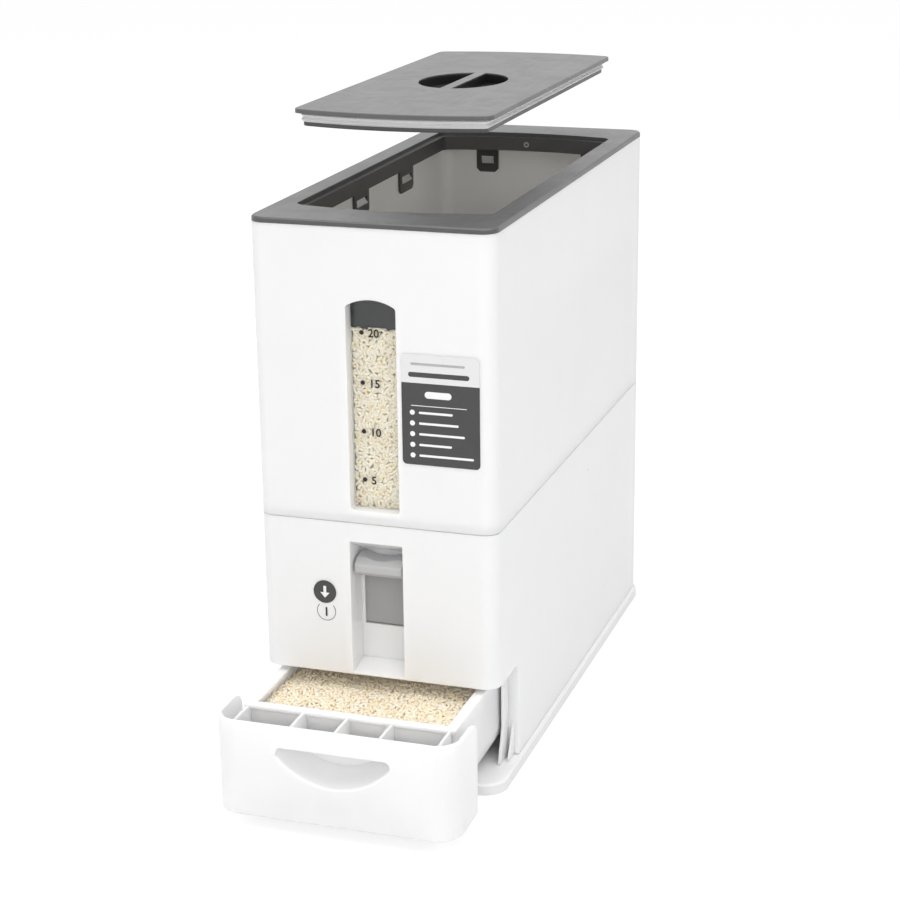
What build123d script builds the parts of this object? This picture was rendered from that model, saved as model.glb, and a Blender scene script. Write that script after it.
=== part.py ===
"""Rice dispenser with a drawer: a slim hopper over a rotary meter and a pull-out rice drawer.

Millimetres. X runs to the right as seen from the front, Y runs to the back and Z runs up.
The origin is on the floor, under the middle of the housing. The part is shown as it stands in
use with its lid lifted off, its drawer pulled out and its lever up.
"""
import os
from math import acos, atan2, cos, hypot, pi, radians, sin, sqrt, tan

from build123d import *

# ---------------------------------------------------------------- driving dimensions
# housing
HOUSING_WIDTH = 185.0
HOUSING_DEPTH = 438.6
HOUSING_TOP = 426.0
HOUSING_CORNER = 12.0
WALL = 3.0
SEAM_HEIGHT = 206.0
SEAM_GAP = 0.5
LIP_HEIGHT = 5.5
LIP_THICKNESS = 1.4
LIP_CLEARANCE = 0.15

# base plate
BASE_FLANGE = 3.0
BASE_FRONT_FLANGE = 1.7
BASE_THICKNESS = 9.0
BASE_CORNER = 18.0
BASE_SKIN = 3.0
BASE_RIB = 3.0
BASE_EDGE = 1.6
PAD_LENGTH = 34.0
PAD_WIDTH = 14.0
PAD_THICKNESS = 2.5
PAD_INSET = 26.0
LOCATOR_HEIGHT = 5.0
LOCATOR_THICKNESS = 2.0
LOCATOR_GAP = 0.3
RUNNER_HEIGHT = 3.7
RUNNER_WIDTH = 4.0
RUNNER_INSET = 21.5

# drawer bay
PANEL_BOTTOM = 85.5
DECK_TOP = 89.0
DECK_THICKNESS = 2.5
NOTCH_REACH = 55.3
NOTCH_CORNER = 8.0
GUIDE_WELL = 7.4
GUIDE_THICKNESS = 2.0
GUIDE_SETBACK = 43.3
BAY_LENGTH = 222.3
FIN_HEIGHT = 36.0
FIN_SETBACK = 41.3
FIN_THICKNESS = 1.6
FIN_INSET = 1.4

# drawer
DRAWER_PULL = 100.0
FRONT_BOTTOM = 10.3
FRONT_TOP = 84.3
FRONT_OVERHANG = 0.1
FRONT_CORNER = 18.0
FRONT_THICKNESS = 2.6
WING_LENGTH = 51.0
WING_CORNER = 12.0
BIN_SIDE_GAP = 2.6
BIN_SETBACK = 34.3
BIN_LENGTH = 172.0
BIN_BOTTOM = 13.0
BIN_RIM_TOP = 81.5
BIN_WALL = 2.2
BIN_RIM_WIDTH = 7.7
BIN_RIM_REACH = 2.0
BIN_RIM_THICKNESS = 3.0
BIN_BOTTOM_RADIUS = 22.0
RIB_THICKNESS = 2.0
RIB_PITCH = 34.0
RIB_INSET = 2.0
DRAWER_BOSSES = (-56.0, -18.0, 18.0, 56.0)
TRAY_GAP = 3.0
HANDLE_TOP = 67.0
HANDLE_BOTTOM = 40.5
HANDLE_ARC = 56.6
HANDLE_END_RADIUS = 4.5
HANDLE_DEPTH = 20.0
HANDLE_RISE = 10.0
HANDLE_SKIN = 2.0

# lever recess
NICHE_HALF_WIDTH = 20.6
NICHE_TOP_FRONT = 191.3
NICHE_TOP_BACK = 179.0
NICHE_DEPTH = 23.0
NICHE_FLOOR_BACK = 91.0
NICHE_FLOOR_LIP = 1.4
NICHE_WALL = 2.5
SLOT_HALF_WIDTH = 18.3
SLOT_BOTTOM = 118.0
SLOT_TOP = 171.5

# lever and its drive
MODULE = 1.5
PINION_TEETH = 12
IDLER_TEETH = 32
PRESSURE_ANGLE = 20.0
ADDENDUM = 0.75
DEDENDUM = 1.1
BACKLASH = 0.30
RACK_STANDOFF = 4.7
IDLER_RISE = 8.0
GEAR_WIDTH = 6.0
PIN_HALF_LENGTH = 8.4
SLIDER_GAP = 0.3
SLIDER_THICKNESS = 2.5
SLIDER_HALF_WIDTH = 21.4
SLIDER_TOP = 176.0
SLIDER_BOTTOM = 118.2
RACK_WIDTH = 8.0
KNOB_HALF_WIDTH = 18.4
KNOB_BOTTOM = 162.0
KNOB_TOP = 178.0
KNOB_SETBACK = 3.3
KNOB_SCOOP = 42.0
KNOB_SCOOP_DEPTH = 3.0
KNOB_STEM = 5.8
KNOB_STEM_HALF_WIDTH = 15.0
RAIL_OUTER = 28.0
RAIL_BOTTOM = 92.0
FRAME_THICKNESS = 2.4
FRAME_INNER = 17.0
FRAME_BAR_BOTTOM = 167.0
SPRING_X = 12.0
SPRING_RADIUS = 2.4

# meter
DRUM_RADIUS = 24.0
DRUM_SHELL = 2.5
DRUM_DISC = 2.0
DRUM_OPENING = 50.0
DRUM_CLEARANCE = 0.6
METER_SIDE_GAP = 5.0
METER_WALL = 2.4
METER_END = 2.4
METER_CENTRE = 8.0
AXLE_RADIUS = 3.0
AXLE_END = 2.0
METER_FLANGE = 4.0
METER_FLANGE_HEIGHT = 2.2
RUNNING_FIT = 0.05
INLET_HALF_WIDTH = 16.0
OUTLET_HALF_WIDTH = 15.0

# hopper floor
FLOOR_SHEET = 2.2
FLOOR_FRONT_HEIGHT = 209.0
FLOOR_BACK_HEIGHT = 228.0
THROAT_RISE = 6.0
FLOOR_SIDE_GAP = 0.3
FLOOR_REST_HALF = 70.0
FLOOR_REST_DEPTH = 5.0
FLOOR_LEDGE_SETBACK = 120.3

# window
WINDOW_HALF_WIDTH = 19.0
WINDOW_BOTTOM = 216.0
WINDOW_SHOULDER_DROP = 57.0
WINDOW_TOP_DROP = 51.5
WINDOW_CORNER = 3.0
WINDOW_RECESS = 9.0
LENS_THICKNESS = 2.5
LENS_MARGIN = 3.0
FRAME_MARGIN = 8.0
SKIRT_THICKNESS = 2.0
SKIRT_CLEARANCE = 0.15
SKIRT_GAP = 1.5
WINDOW_FRAME_THICKNESS = 2.2

# rim frame and lid
RIM_THICKNESS = 4.0
RIM_SIDE_BAND = 16.7
RIM_END_BAND = 41.3
RIM_OPENING_BOW = 10.0
RIM_OPENING_CORNER = 8.0
RIM_EDGE = 1.1
LEDGE_DEPTH = 3.4
LEDGE_WIDTH = 3.8
COLLAR_DROP = 11.0
COLLAR_WALL = 2.5
CLIP_THICKNESS = 2.0
CLIP_DROP = 38.0
CLIP_GAP = 0.3
SIDE_CLIP_WIDTH = 33.0
SIDE_CLIP_PITCH = 109.0
END_CLIP_WIDTH = 20.0
END_CLIP_X = 48.0
CATCH_HEIGHT = 4.6
CATCH_DROP = 27.5
LID_LIFT = 69.5
LID_CLEARANCE = 0.5
LID_PLATE = 3.2
LID_STACK = 13.0
LID_BOTTOM_PLATE = 3.0
LID_BOTTOM_INSET = 5.6
SEAL_INSET = 4.2
SEAL_CORE_INSET = 9.5
SEAL_LAYERS = 2
SEAL_SLOPE = 1.5
CORE_WALL = 2.0
POCKET_HALF_WIDTH = 34.0
POCKET_HALF_LENGTH = 45.0
POCKET_BAR_HALF = 4.4
POCKET_WALL = 1.6
POCKET_DEPTH = 8.0

# small edge rounding
EDGE_ROUND = 1.0
FINE_ROUND = 0.5

# ---------------------------------------------------------------- derived places
HALF_WIDTH = HOUSING_WIDTH / 2
FRONT = -HOUSING_DEPTH / 2
BACK = HOUSING_DEPTH / 2
INNER_HALF = HALF_WIDTH - WALL
INNER_FRONT = FRONT + WALL
INNER_BACK = BACK - WALL
LOWER_TOP = SEAM_HEIGHT - SEAM_GAP / 2
UPPER_BOTTOM = SEAM_HEIGHT + SEAM_GAP / 2
DECK_BOTTOM = DECK_TOP - DECK_THICKNESS
NOTCH_BACK = FRONT + NOTCH_REACH
GUIDE_FRONT = FRONT + GUIDE_SETBACK
GUIDE_HALF_GAP = INNER_HALF - GUIDE_WELL
BAY_BACK = FRONT + BAY_LENGTH
FIN_FRONT = FRONT + FIN_SETBACK
FIN_X = INNER_HALF - FIN_INSET
NICHE_BACK = FRONT + NICHE_DEPTH
NICHE_PANEL_BACK = NICHE_BACK + NICHE_WALL

PINION_RADIUS = MODULE * PINION_TEETH / 2
IDLER_RADIUS = MODULE * IDLER_TEETH / 2
LEVER_TRAVEL = pi * PINION_RADIUS
METER_INNER = DRUM_RADIUS + DRUM_CLEARANCE
METER_OUTER = METER_INNER + METER_WALL
DRUM_HEIGHT = DECK_TOP + METER_OUTER
IDLER_HEIGHT = DRUM_HEIGHT + IDLER_RISE
METER_TOP = DRUM_HEIGHT + METER_OUTER
METER_HALF_LENGTH = INNER_HALF - METER_SIDE_GAP
THROAT_HEIGHT = METER_TOP + THROAT_RISE

SLIDER_FRONT = NICHE_PANEL_BACK + SLIDER_GAP
SLIDER_BACK = SLIDER_FRONT + SLIDER_THICKNESS
RACK_PITCH_LINE = SLIDER_BACK + RACK_STANDOFF
IDLER_Y = RACK_PITCH_LINE + IDLER_RADIUS
DRUM_Y = IDLER_Y + sqrt((IDLER_RADIUS + PINION_RADIUS) ** 2 - (IDLER_HEIGHT - DRUM_HEIGHT) ** 2)
KNOB_FRONT = FRONT + KNOB_SETBACK
RAIL_INNER = SLIDER_HALF_WIDTH + 0.4
FRAME_FRONT = SLIDER_BACK + 3.8
RAIL_TOP = SLIDER_TOP

FRONT_HALF_WIDTH = HALF_WIDTH + FRONT_OVERHANG
BIN_HALF_WIDTH = GUIDE_HALF_GAP - BIN_SIDE_GAP
BIN_FRONT = FRONT + BIN_SETBACK
RUNNER_X = BIN_HALF_WIDTH - RUNNER_INSET
OUTER_RIB = BIN_HALF_WIDTH - RIB_INSET
RIB_PLACES = (-OUTER_RIB, -RIB_PITCH, 0.0, RIB_PITCH, OUTER_RIB)

RIM_TOP = HOUSING_TOP + RIM_THICKNESS
LEDGE_TOP = RIM_TOP - LEDGE_DEPTH
LID_TOP = RIM_TOP + LID_LIFT
RIM_OPENING_HALF_WIDTH = HALF_WIDTH - RIM_SIDE_BAND
RIM_OPENING_HALF_LENGTH = BACK - RIM_END_BAND - RIM_OPENING_BOW
COLLAR_BOTTOM = HOUSING_TOP - COLLAR_DROP
CLIP_BOTTOM = HOUSING_TOP - CLIP_DROP
CATCH_MIDDLE = HOUSING_TOP - CATCH_DROP
WINDOW_SHOULDER = HOUSING_TOP - WINDOW_SHOULDER_DROP
WINDOW_TOP = HOUSING_TOP - WINDOW_TOP_DROP
LENS_FRONT = FRONT + WINDOW_RECESS


# ---------------------------------------------------------------- small helpers
def block(x, y, z):
    """A box from its (low, high) pair on each axis."""
    size = [high - low for low, high in (x, y, z)]
    middle = [(high + low) / 2 for low, high in (x, y, z)]
    return Pos(*middle) * Box(*size)


def mirrored(shape):
    """The shape with its twin on the other side of the middle plane."""
    return shape + mirror(shape, about=Plane.YZ)


def rounded_prism(half_x, y, z, radius):
    """An upright prism with rounded corners, between two y and two z values."""
    outline = Pos(0, (y[0] + y[1]) / 2) * RectangleRounded(2 * half_x, y[1] - y[0], radius)
    return Pos(0, 0, z[0]) * extrude(outline, amount=z[1] - z[0])


def side_profile(points, x):
    """A closed outline of (y, z) points, stretched between two x values."""
    face = Plane.YZ * make_face(Polyline(*points, close=True))
    return Pos(x[0], 0, 0) * extrude(face, amount=x[1] - x[0])


def rod_x(radius, x, y, z):
    """A round bar along X between two x values."""
    return Pos((x[0] + x[1]) / 2, y, z) * Rot(0, 90, 0) * Cylinder(radius, x[1] - x[0])


def rod_y(radius, x, y, z):
    """A round bar along Y between two y values."""
    return Pos(x, (y[0] + y[1]) / 2, z) * Rot(90, 0, 0) * Cylinder(radius, y[1] - y[0])


def rod_z(radius, x, y, z):
    """A round bar along Z between two z values."""
    return Pos(x, y, (z[0] + z[1]) / 2) * Cylinder(radius, z[1] - z[0])


def bowed_face(inset=0.0):
    """The outline of the lid opening, drawn in all round: straight sides and bowed ends."""
    half_x = RIM_OPENING_HALF_WIDTH - inset
    half_y = RIM_OPENING_HALF_LENGTH - inset
    reach = half_y + RIM_OPENING_BOW
    edges = [
        Line((half_x, -half_y), (half_x, half_y)),
        ThreePointArc((half_x, half_y), (0, reach), (-half_x, half_y)),
        Line((-half_x, half_y), (-half_x, -half_y)),
        ThreePointArc((-half_x, -half_y), (0, -reach), (half_x, -half_y)),
    ]
    face = make_face(edges)
    return fillet(face.vertices(), max(RIM_OPENING_CORNER - inset * 0.5, 1.0))


def bowed_prism(inset, z):
    """The lid opening's outline, drawn in and stretched between two z values."""
    return Pos(0, 0, z[0]) * extrude(bowed_face(inset), amount=z[1] - z[0])


# ---------------------------------------------------------------- base plate and pads
def base_plate():
    """The plinth: ribbed below, with pads in its corners, and runners and locators on top."""
    y = (FRONT - BASE_FRONT_FLANGE, BACK + BASE_FLANGE)
    half_x = HALF_WIDTH + BASE_FLANGE
    plate = rounded_prism(half_x, y, (0, BASE_THICKNESS), BASE_CORNER)
    plate = chamfer(plate.faces().sort_by(Axis.Z)[-1].edges(), BASE_EDGE)
    columns, rows = 4, 6
    cell_x = (2 * half_x - 2 * BASE_SKIN - (columns - 1) * BASE_RIB) / columns
    cell_y = (y[1] - y[0] - 2 * BASE_SKIN - (rows - 1) * BASE_RIB) / rows
    for column in range(columns):
        for row in range(rows):
            x0 = -half_x + BASE_SKIN + column * (cell_x + BASE_RIB)
            y0 = y[0] + BASE_SKIN + row * (cell_y + BASE_RIB)
            if not (column in (0, columns - 1) and row in (0, rows - 1)):
                plate = plate - block((x0, x0 + cell_x), (y0, y0 + cell_y),
                                      (-1, BASE_THICKNESS - BASE_SKIN))
    plate = plate - [pad_block(x, y_pad, -1) for x, y_pad in pad_places()]
    runner = block((RUNNER_X - RUNNER_WIDTH / 2, RUNNER_X + RUNNER_WIDTH / 2),
                   (GUIDE_FRONT - 20, BAY_BACK - 2),
                   (BASE_THICKNESS - 1, BASE_THICKNESS + RUNNER_HEIGHT))
    locator_x = INNER_HALF - LOCATOR_GAP
    locator_z = (BASE_THICKNESS - 1, BASE_THICKNESS + LOCATOR_HEIGHT)
    side_locator = block((locator_x - LOCATOR_THICKNESS, locator_x),
                         (NOTCH_BACK + 12, INNER_BACK - HOUSING_CORNER), locator_z)
    locator_y = INNER_BACK - LOCATOR_GAP
    back_locator = block((-INNER_HALF + HOUSING_CORNER, INNER_HALF - HOUSING_CORNER),
                         (locator_y - LOCATOR_THICKNESS, locator_y), locator_z)
    return plate + mirrored(runner + side_locator) + back_locator


def pad_places():
    x = HALF_WIDTH + BASE_FLANGE - PAD_INSET
    y = BACK - PAD_INSET
    return [(-x, -y), (x, -y), (-x, y), (x, y)]


def pad_block(x, y, low=0.0):
    """A rubber pad let into the plinth, its foot level with the floor."""
    return block((x - PAD_WIDTH / 2, x + PAD_WIDTH / 2), (y - PAD_LENGTH / 2, y + PAD_LENGTH / 2),
                 (low, PAD_THICKNESS))


# ---------------------------------------------------------------- lower housing
def floor_slope(y):
    """Slope of the hopper floor at a depth y: steep in front of the meter, gentle behind it."""
    if y < DRUM_Y:
        return (THROAT_HEIGHT - FLOOR_FRONT_HEIGHT) / (DRUM_Y - INLET_HALF_WIDTH - INNER_FRONT)
    return (FLOOR_BACK_HEIGHT - THROAT_HEIGHT) / (INNER_BACK - DRUM_Y - INLET_HALF_WIDTH)


def floor_line(y):
    """Height of the hopper floor's upper face at a depth y."""
    edge = DRUM_Y - INLET_HALF_WIDTH if y < DRUM_Y else DRUM_Y + INLET_HALF_WIDTH
    return THROAT_HEIGHT + (y - edge) * floor_slope(y)


def sheet_drop(y):
    """How far below the upper face the floor sheet's lower face lies, measured upright."""
    return FLOOR_SHEET * sqrt(1 + floor_slope(y) ** 2)


def ledge_under_floor(y):
    """The rib on a side wall that carries the floor sheet between two y values."""
    top = [floor_line(v) - sheet_drop(v) - 0.1 for v in y]
    depth = 3.0
    points = [(y[0], top[0]), (y[1], top[1]), (y[1], top[1] - depth), (y[0], top[0] - depth)]
    return side_profile(points, (INNER_HALF - 3.5, INNER_HALF))


def lower_housing():
    z = (BASE_THICKNESS, LOWER_TOP)
    shell = rounded_prism(HALF_WIDTH, (FRONT, BACK), z, HOUSING_CORNER)
    shell = shell - rounded_prism(INNER_HALF, (INNER_FRONT, INNER_BACK), (z[0] - 1, z[1] + 1),
                                  HOUSING_CORNER - WALL)
    lip = rounded_prism(INNER_HALF + LIP_THICKNESS, (INNER_FRONT - LIP_THICKNESS,
                        INNER_BACK + LIP_THICKNESS), (LOWER_TOP, LOWER_TOP + LIP_HEIGHT),
                        HOUSING_CORNER - WALL + LIP_THICKNESS)
    lip = lip - rounded_prism(INNER_HALF, (INNER_FRONT, INNER_BACK), (z[0], z[1] + 20),
                              HOUSING_CORNER - WALL)
    shell = shell + lip

    deck = rounded_prism(INNER_HALF, (INNER_FRONT, INNER_BACK), (DECK_BOTTOM, DECK_TOP),
                         HOUSING_CORNER - WALL)
    for x in ((METER_CENTRE + 1, METER_HALF_LENGTH - METER_END),):
        hole = block(x, (DRUM_Y - OUTLET_HALF_WIDTH, DRUM_Y + OUTLET_HALF_WIDTH),
                     (DECK_BOTTOM - 1, DECK_TOP + 1))
        deck = deck - mirrored(hole)
    shell = shell + deck

    guide = block((GUIDE_HALF_GAP, GUIDE_HALF_GAP + GUIDE_THICKNESS), (GUIDE_FRONT, BAY_BACK + 2),
                  (BASE_THICKNESS, DECK_BOTTOM))
    notch_wall = block((GUIDE_HALF_GAP, INNER_HALF), (NOTCH_BACK, NOTCH_BACK + 2.5),
                       (BASE_THICKNESS, DECK_BOTTOM))
    bay_wall = block((-GUIDE_HALF_GAP, GUIDE_HALF_GAP), (BAY_BACK, BAY_BACK + 2),
                     (BASE_THICKNESS, DECK_BOTTOM))
    fin_points = [(NOTCH_BACK, BASE_THICKNESS), (FIN_FRONT, BASE_THICKNESS),
                  (FIN_FRONT + 1, BASE_THICKNESS + 3), (NOTCH_BACK, FIN_HEIGHT)]
    outer_fin = side_profile(fin_points, (FIN_X - FIN_THICKNESS / 2, FIN_X + FIN_THICKNESS / 2))
    inner_fin_points = [(GUIDE_FRONT, BASE_THICKNESS), (FIN_FRONT - 8, BASE_THICKNESS),
                        (FIN_FRONT - 7, BASE_THICKNESS + 3), (GUIDE_FRONT, FIN_HEIGHT)]
    inner_fin = side_profile(inner_fin_points,
                             (GUIDE_HALF_GAP, GUIDE_HALF_GAP + GUIDE_THICKNESS))

    notch = Plane.YZ * make_face(Polyline((FRONT - 5, 0), (NOTCH_BACK, 0),
                                          (NOTCH_BACK, PANEL_BOTTOM), (FRONT - 5, PANEL_BOTTOM),
                                          close=True))
    notch = Pos(-HOUSING_WIDTH, 0, 0) * extrude(notch, amount=2 * HOUSING_WIDTH)
    corner = notch.edges().filter_by(Axis.X).sort_by_distance((0, NOTCH_BACK, PANEL_BOTTOM))[0]
    shell = shell - fillet(corner, NOTCH_CORNER)
    shell = shell + mirrored(guide + notch_wall + outer_fin + inner_fin) + bay_wall

    shell = shell + lever_niche_walls() - lever_niche_void()
    shell = shell - block((-SLOT_HALF_WIDTH, SLOT_HALF_WIDTH),
                          (NICHE_BACK - 1, NICHE_PANEL_BACK + 1), (SLOT_BOTTOM, SLOT_TOP))
    rail = block((RAIL_INNER, RAIL_OUTER), (NICHE_PANEL_BACK, FRAME_FRONT), (RAIL_BOTTOM, RAIL_TOP))
    web = block((NICHE_HALF_WIDTH + NICHE_WALL, RAIL_OUTER),
                (NICHE_BACK, NICHE_PANEL_BACK), (DECK_TOP, RAIL_TOP))
    shell = shell + mirrored(rail + web)

    ledges = ledge_under_floor((INNER_FRONT + 4, DRUM_Y - INLET_HALF_WIDTH - 8))
    ledges = ledges + ledge_under_floor((DRUM_Y + INLET_HALF_WIDTH + 8, INNER_BACK - FLOOR_LEDGE_SETBACK))
    return shell + mirrored(ledges)


def lever_niche_walls():
    """The recess in the front panel: two cheeks, a sloping ceiling, a back and a ramp."""
    half = NICHE_HALF_WIDTH + NICHE_WALL
    outline = [(FRONT + 1, DECK_BOTTOM), (FRONT + 1, NICHE_TOP_FRONT + NICHE_WALL),
               (NICHE_PANEL_BACK, NICHE_TOP_BACK + NICHE_WALL), (NICHE_PANEL_BACK, DECK_BOTTOM)]
    ramp = [(FRONT, PANEL_BOTTOM), (FRONT, PANEL_BOTTOM + NICHE_FLOOR_LIP),
            (NICHE_PANEL_BACK, DECK_TOP + 1), (NICHE_PANEL_BACK, PANEL_BOTTOM)]
    return side_profile(outline, (-half, half)) + side_profile(ramp, (-half, half))


def lever_niche_void():
    """The open space of the lever recess, open to the front."""
    steep = (NICHE_TOP_FRONT - NICHE_TOP_BACK) / NICHE_DEPTH
    outline = [(FRONT - 5, PANEL_BOTTOM + NICHE_FLOOR_LIP), (FRONT, PANEL_BOTTOM + NICHE_FLOOR_LIP),
               (NICHE_BACK, NICHE_FLOOR_BACK), (NICHE_BACK, NICHE_TOP_BACK),
               (FRONT - 5, NICHE_TOP_FRONT + 5 * steep)]
    return side_profile(outline, (-NICHE_HALF_WIDTH, NICHE_HALF_WIDTH))


# ---------------------------------------------------------------- upper housing and window
def window_face(margin=0.0):
    """The window's outline in the XZ plane, grown outwards: arched top and small lower corners."""
    half = WINDOW_HALF_WIDTH + margin
    low = WINDOW_BOTTOM - margin
    shoulder = WINDOW_SHOULDER
    top = WINDOW_TOP + margin
    edges = [
        Line((-half, low), (half, low)),
        Line((half, low), (half, shoulder)),
        ThreePointArc((half, shoulder), (0, top), (-half, shoulder)),
        Line((-half, shoulder), (-half, low)),
    ]
    face = make_face(edges)
    return fillet(face.vertices(), WINDOW_CORNER + margin)


def window_prism(margin, y):
    """The window's outline stretched between two y values."""
    face = Plane.XZ * window_face(margin)
    return Pos(0, y[1], 0) * extrude(face, amount=y[1] - y[0])


def upper_housing():
    z = (UPPER_BOTTOM, HOUSING_TOP)
    shell = rounded_prism(HALF_WIDTH, (FRONT, BACK), z, HOUSING_CORNER)
    shell = shell - rounded_prism(INNER_HALF, (INNER_FRONT, INNER_BACK), (z[0] - 1, z[1] + 1),
                                  HOUSING_CORNER - WALL)
    rebate = LIP_THICKNESS + LIP_CLEARANCE
    shell = shell - rounded_prism(INNER_HALF + rebate, (INNER_FRONT - rebate, INNER_BACK + rebate),
                                  (z[0] - 1, LOWER_TOP + LIP_HEIGHT + LIP_CLEARANCE),
                                  HOUSING_CORNER - WALL + rebate)
    shell = shell + window_prism(LENS_MARGIN, (FRONT + 1, LENS_FRONT))
    shell = shell - window_prism(0, (FRONT - 1, LENS_FRONT + 1))
    catches = []
    catch_z = (CATCH_MIDDLE - CATCH_HEIGHT / 2, CATCH_MIDDLE + CATCH_HEIGHT / 2)
    reach = CLIP_GAP + CLIP_THICKNESS + 0.6
    for y in (-SIDE_CLIP_PITCH, 0, SIDE_CLIP_PITCH):
        wedge = catch_wedge(SIDE_CLIP_WIDTH / 3, reach, catch_z)
        catches.append(Pos(INNER_HALF, y, 0) * Rot(0, 0, 90) * wedge)
        catches.append(Pos(-INNER_HALF, y, 0) * Rot(0, 0, -90) * wedge)
    for x in (-END_CLIP_X, END_CLIP_X):
        wedge = catch_wedge(END_CLIP_WIDTH / 4, reach, catch_z)
        catches.append(Pos(x, INNER_FRONT, 0) * wedge)
        catches.append(Pos(x, INNER_BACK, 0) * Rot(0, 0, 180) * wedge)
    for catch in catches:
        shell = shell + catch
    rest_front = INNER_BACK - FLOOR_REST_DEPTH
    rest_top = floor_line(rest_front) - sheet_drop(rest_front) - 0.1
    shell = shell + block((-FLOOR_REST_HALF, FLOOR_REST_HALF), (rest_front, INNER_BACK + 1),
                          (rest_top - 3, rest_top))
    return shell


def catch_wedge(half_width, reach, z):
    """A ramped catch that grows out of a wall at y = 0 towards +Y, hooked on its underside."""
    return side_profile([(-0.5, z[0]), (reach, z[0]), (reach, z[0] + 1), (0.6, z[1]), (-0.5, z[1])],
                        (-half_width, half_width))


def window_lens():
    return window_prism(LENS_MARGIN, (LENS_FRONT, LENS_FRONT + LENS_THICKNESS))


def window_frame():
    """A cap that snaps over the window's tunnel and holds the lens against its end."""
    lens_back = LENS_FRONT + LENS_THICKNESS
    ring = window_prism(FRAME_MARGIN, (lens_back, lens_back + WINDOW_FRAME_THICKNESS))
    ring = ring - window_prism(0, (lens_back - 1, lens_back + WINDOW_FRAME_THICKNESS + 1))
    skirt_y = (INNER_FRONT + SKIRT_GAP, lens_back + WINDOW_FRAME_THICKNESS)
    skirt = window_prism(LENS_MARGIN + SKIRT_CLEARANCE + SKIRT_THICKNESS, skirt_y)
    skirt = skirt - window_prism(LENS_MARGIN + SKIRT_CLEARANCE, (skirt_y[0] - 1, skirt_y[1] + 1))
    return ring + skirt


# ---------------------------------------------------------------- rim frame
def rim_frame():
    flange = rounded_prism(HALF_WIDTH, (FRONT, BACK), (HOUSING_TOP, RIM_TOP), HOUSING_CORNER)
    flange = chamfer(flange.faces().sort_by(Axis.Z)[-1].edges(), RIM_EDGE)
    frame = flange + bowed_prism(-COLLAR_WALL, (COLLAR_BOTTOM, RIM_TOP - 1))
    frame = frame - bowed_prism(0, (LEDGE_TOP, RIM_TOP + 1))
    frame = frame - bowed_prism(LEDGE_WIDTH, (COLLAR_BOTTOM - 1, LEDGE_TOP + 1))
    skirt_out = INNER_HALF - CLIP_GAP
    skirt_in = skirt_out - CLIP_THICKNESS
    y_out = (INNER_FRONT + CLIP_GAP, INNER_BACK - CLIP_GAP)
    y_in = (y_out[0] + CLIP_THICKNESS, y_out[1] - CLIP_THICKNESS)
    skirt_z = (HOUSING_TOP - 6, HOUSING_TOP + 1)
    skirt = rounded_prism(skirt_out, y_out, skirt_z, HOUSING_CORNER - WALL - CLIP_GAP)
    skirt = skirt - rounded_prism(skirt_in, y_in, (skirt_z[0] - 1, skirt_z[1] + 1),
                                  HOUSING_CORNER - WALL - CLIP_GAP - CLIP_THICKNESS)
    frame = frame + skirt
    for y in (-SIDE_CLIP_PITCH, 0, SIDE_CLIP_PITCH):
        tab = clip_tab(SIDE_CLIP_WIDTH)
        frame = frame + Pos(skirt_out, y, 0) * Rot(0, 0, 90) * tab
        frame = frame + Pos(-skirt_out, y, 0) * Rot(0, 0, -90) * tab
    for x in (-END_CLIP_X, END_CLIP_X):
        tab = clip_tab(END_CLIP_WIDTH)
        frame = frame + Pos(x, y_out[0], 0) * tab
        frame = frame + Pos(x, y_out[1], 0) * Rot(0, 0, 180) * tab
    return frame


def clip_tab(width):
    """A hanging clip whose outer face is at y = 0, with chamfered lower corners and a window."""
    tab = block((-width / 2, width / 2), (0, CLIP_THICKNESS), (CLIP_BOTTOM, HOUSING_TOP))
    lower = tab.edges().filter_by(Axis.Y).sort_by(Axis.Z)[:2]
    tab = chamfer(lower, 3.0)
    opening = width / 3 if width > 25 else width / 4
    return tab - block((-opening - 0.8, opening + 0.8), (-1, CLIP_THICKNESS + 1),
                       (CATCH_MIDDLE - CATCH_HEIGHT / 2 - 0.8, CATCH_MIDDLE + CATCH_HEIGHT / 2 + 1.2))


# ---------------------------------------------------------------- lid
def half_moon(x_sign, shrink, z):
    """One finger pocket of the lid: half an ellipse beside the grip bar."""
    ellipse = Ellipse(POCKET_HALF_WIDTH - shrink, POCKET_HALF_LENGTH - shrink)
    keep = POCKET_BAR_HALF + shrink
    side = Pos(x_sign * (keep + 100), 0) * Rectangle(200, 200)
    return Pos(0, 0, z[0]) * extrude(ellipse & side, amount=z[1] - z[0])


def lid_top_plate():
    bottom = LID_TOP - LID_PLATE
    well_floor = LID_TOP - POCKET_DEPTH - POCKET_WALL
    plate = bowed_prism(LID_CLEARANCE, (bottom, LID_TOP))
    plate = chamfer(plate.faces().sort_by(Axis.Z)[-1].edges(), FINE_ROUND)
    for sign in (-1, 1):
        plate = plate + half_moon(sign, -POCKET_WALL, (well_floor, bottom + 1))
    for sign in (-1, 1):
        plate = plate - half_moon(sign, 0, (LID_TOP - POCKET_DEPTH, LID_TOP + 1))
    return plate


def lid_seal():
    """The soft band between the lid's plates, with one swelling above the other."""
    top = LID_TOP - LID_PLATE
    bottom = LID_TOP - LID_STACK + LID_BOTTOM_PLATE
    layer = (top - bottom) / SEAL_LAYERS
    layers = []
    for index in range(SEAL_LAYERS):
        low = bottom + index * layer
        bulge = bowed_prism(SEAL_INSET, (low, low + layer))
        layers.append(chamfer(bulge.faces().filter_by(Axis.Z).edges(), SEAL_SLOPE))
    seal = layers[0]
    for bulge in layers[1:]:
        seal = seal + bulge
    return seal - lid_core(0, (bottom - 1, top + 1))


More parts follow.
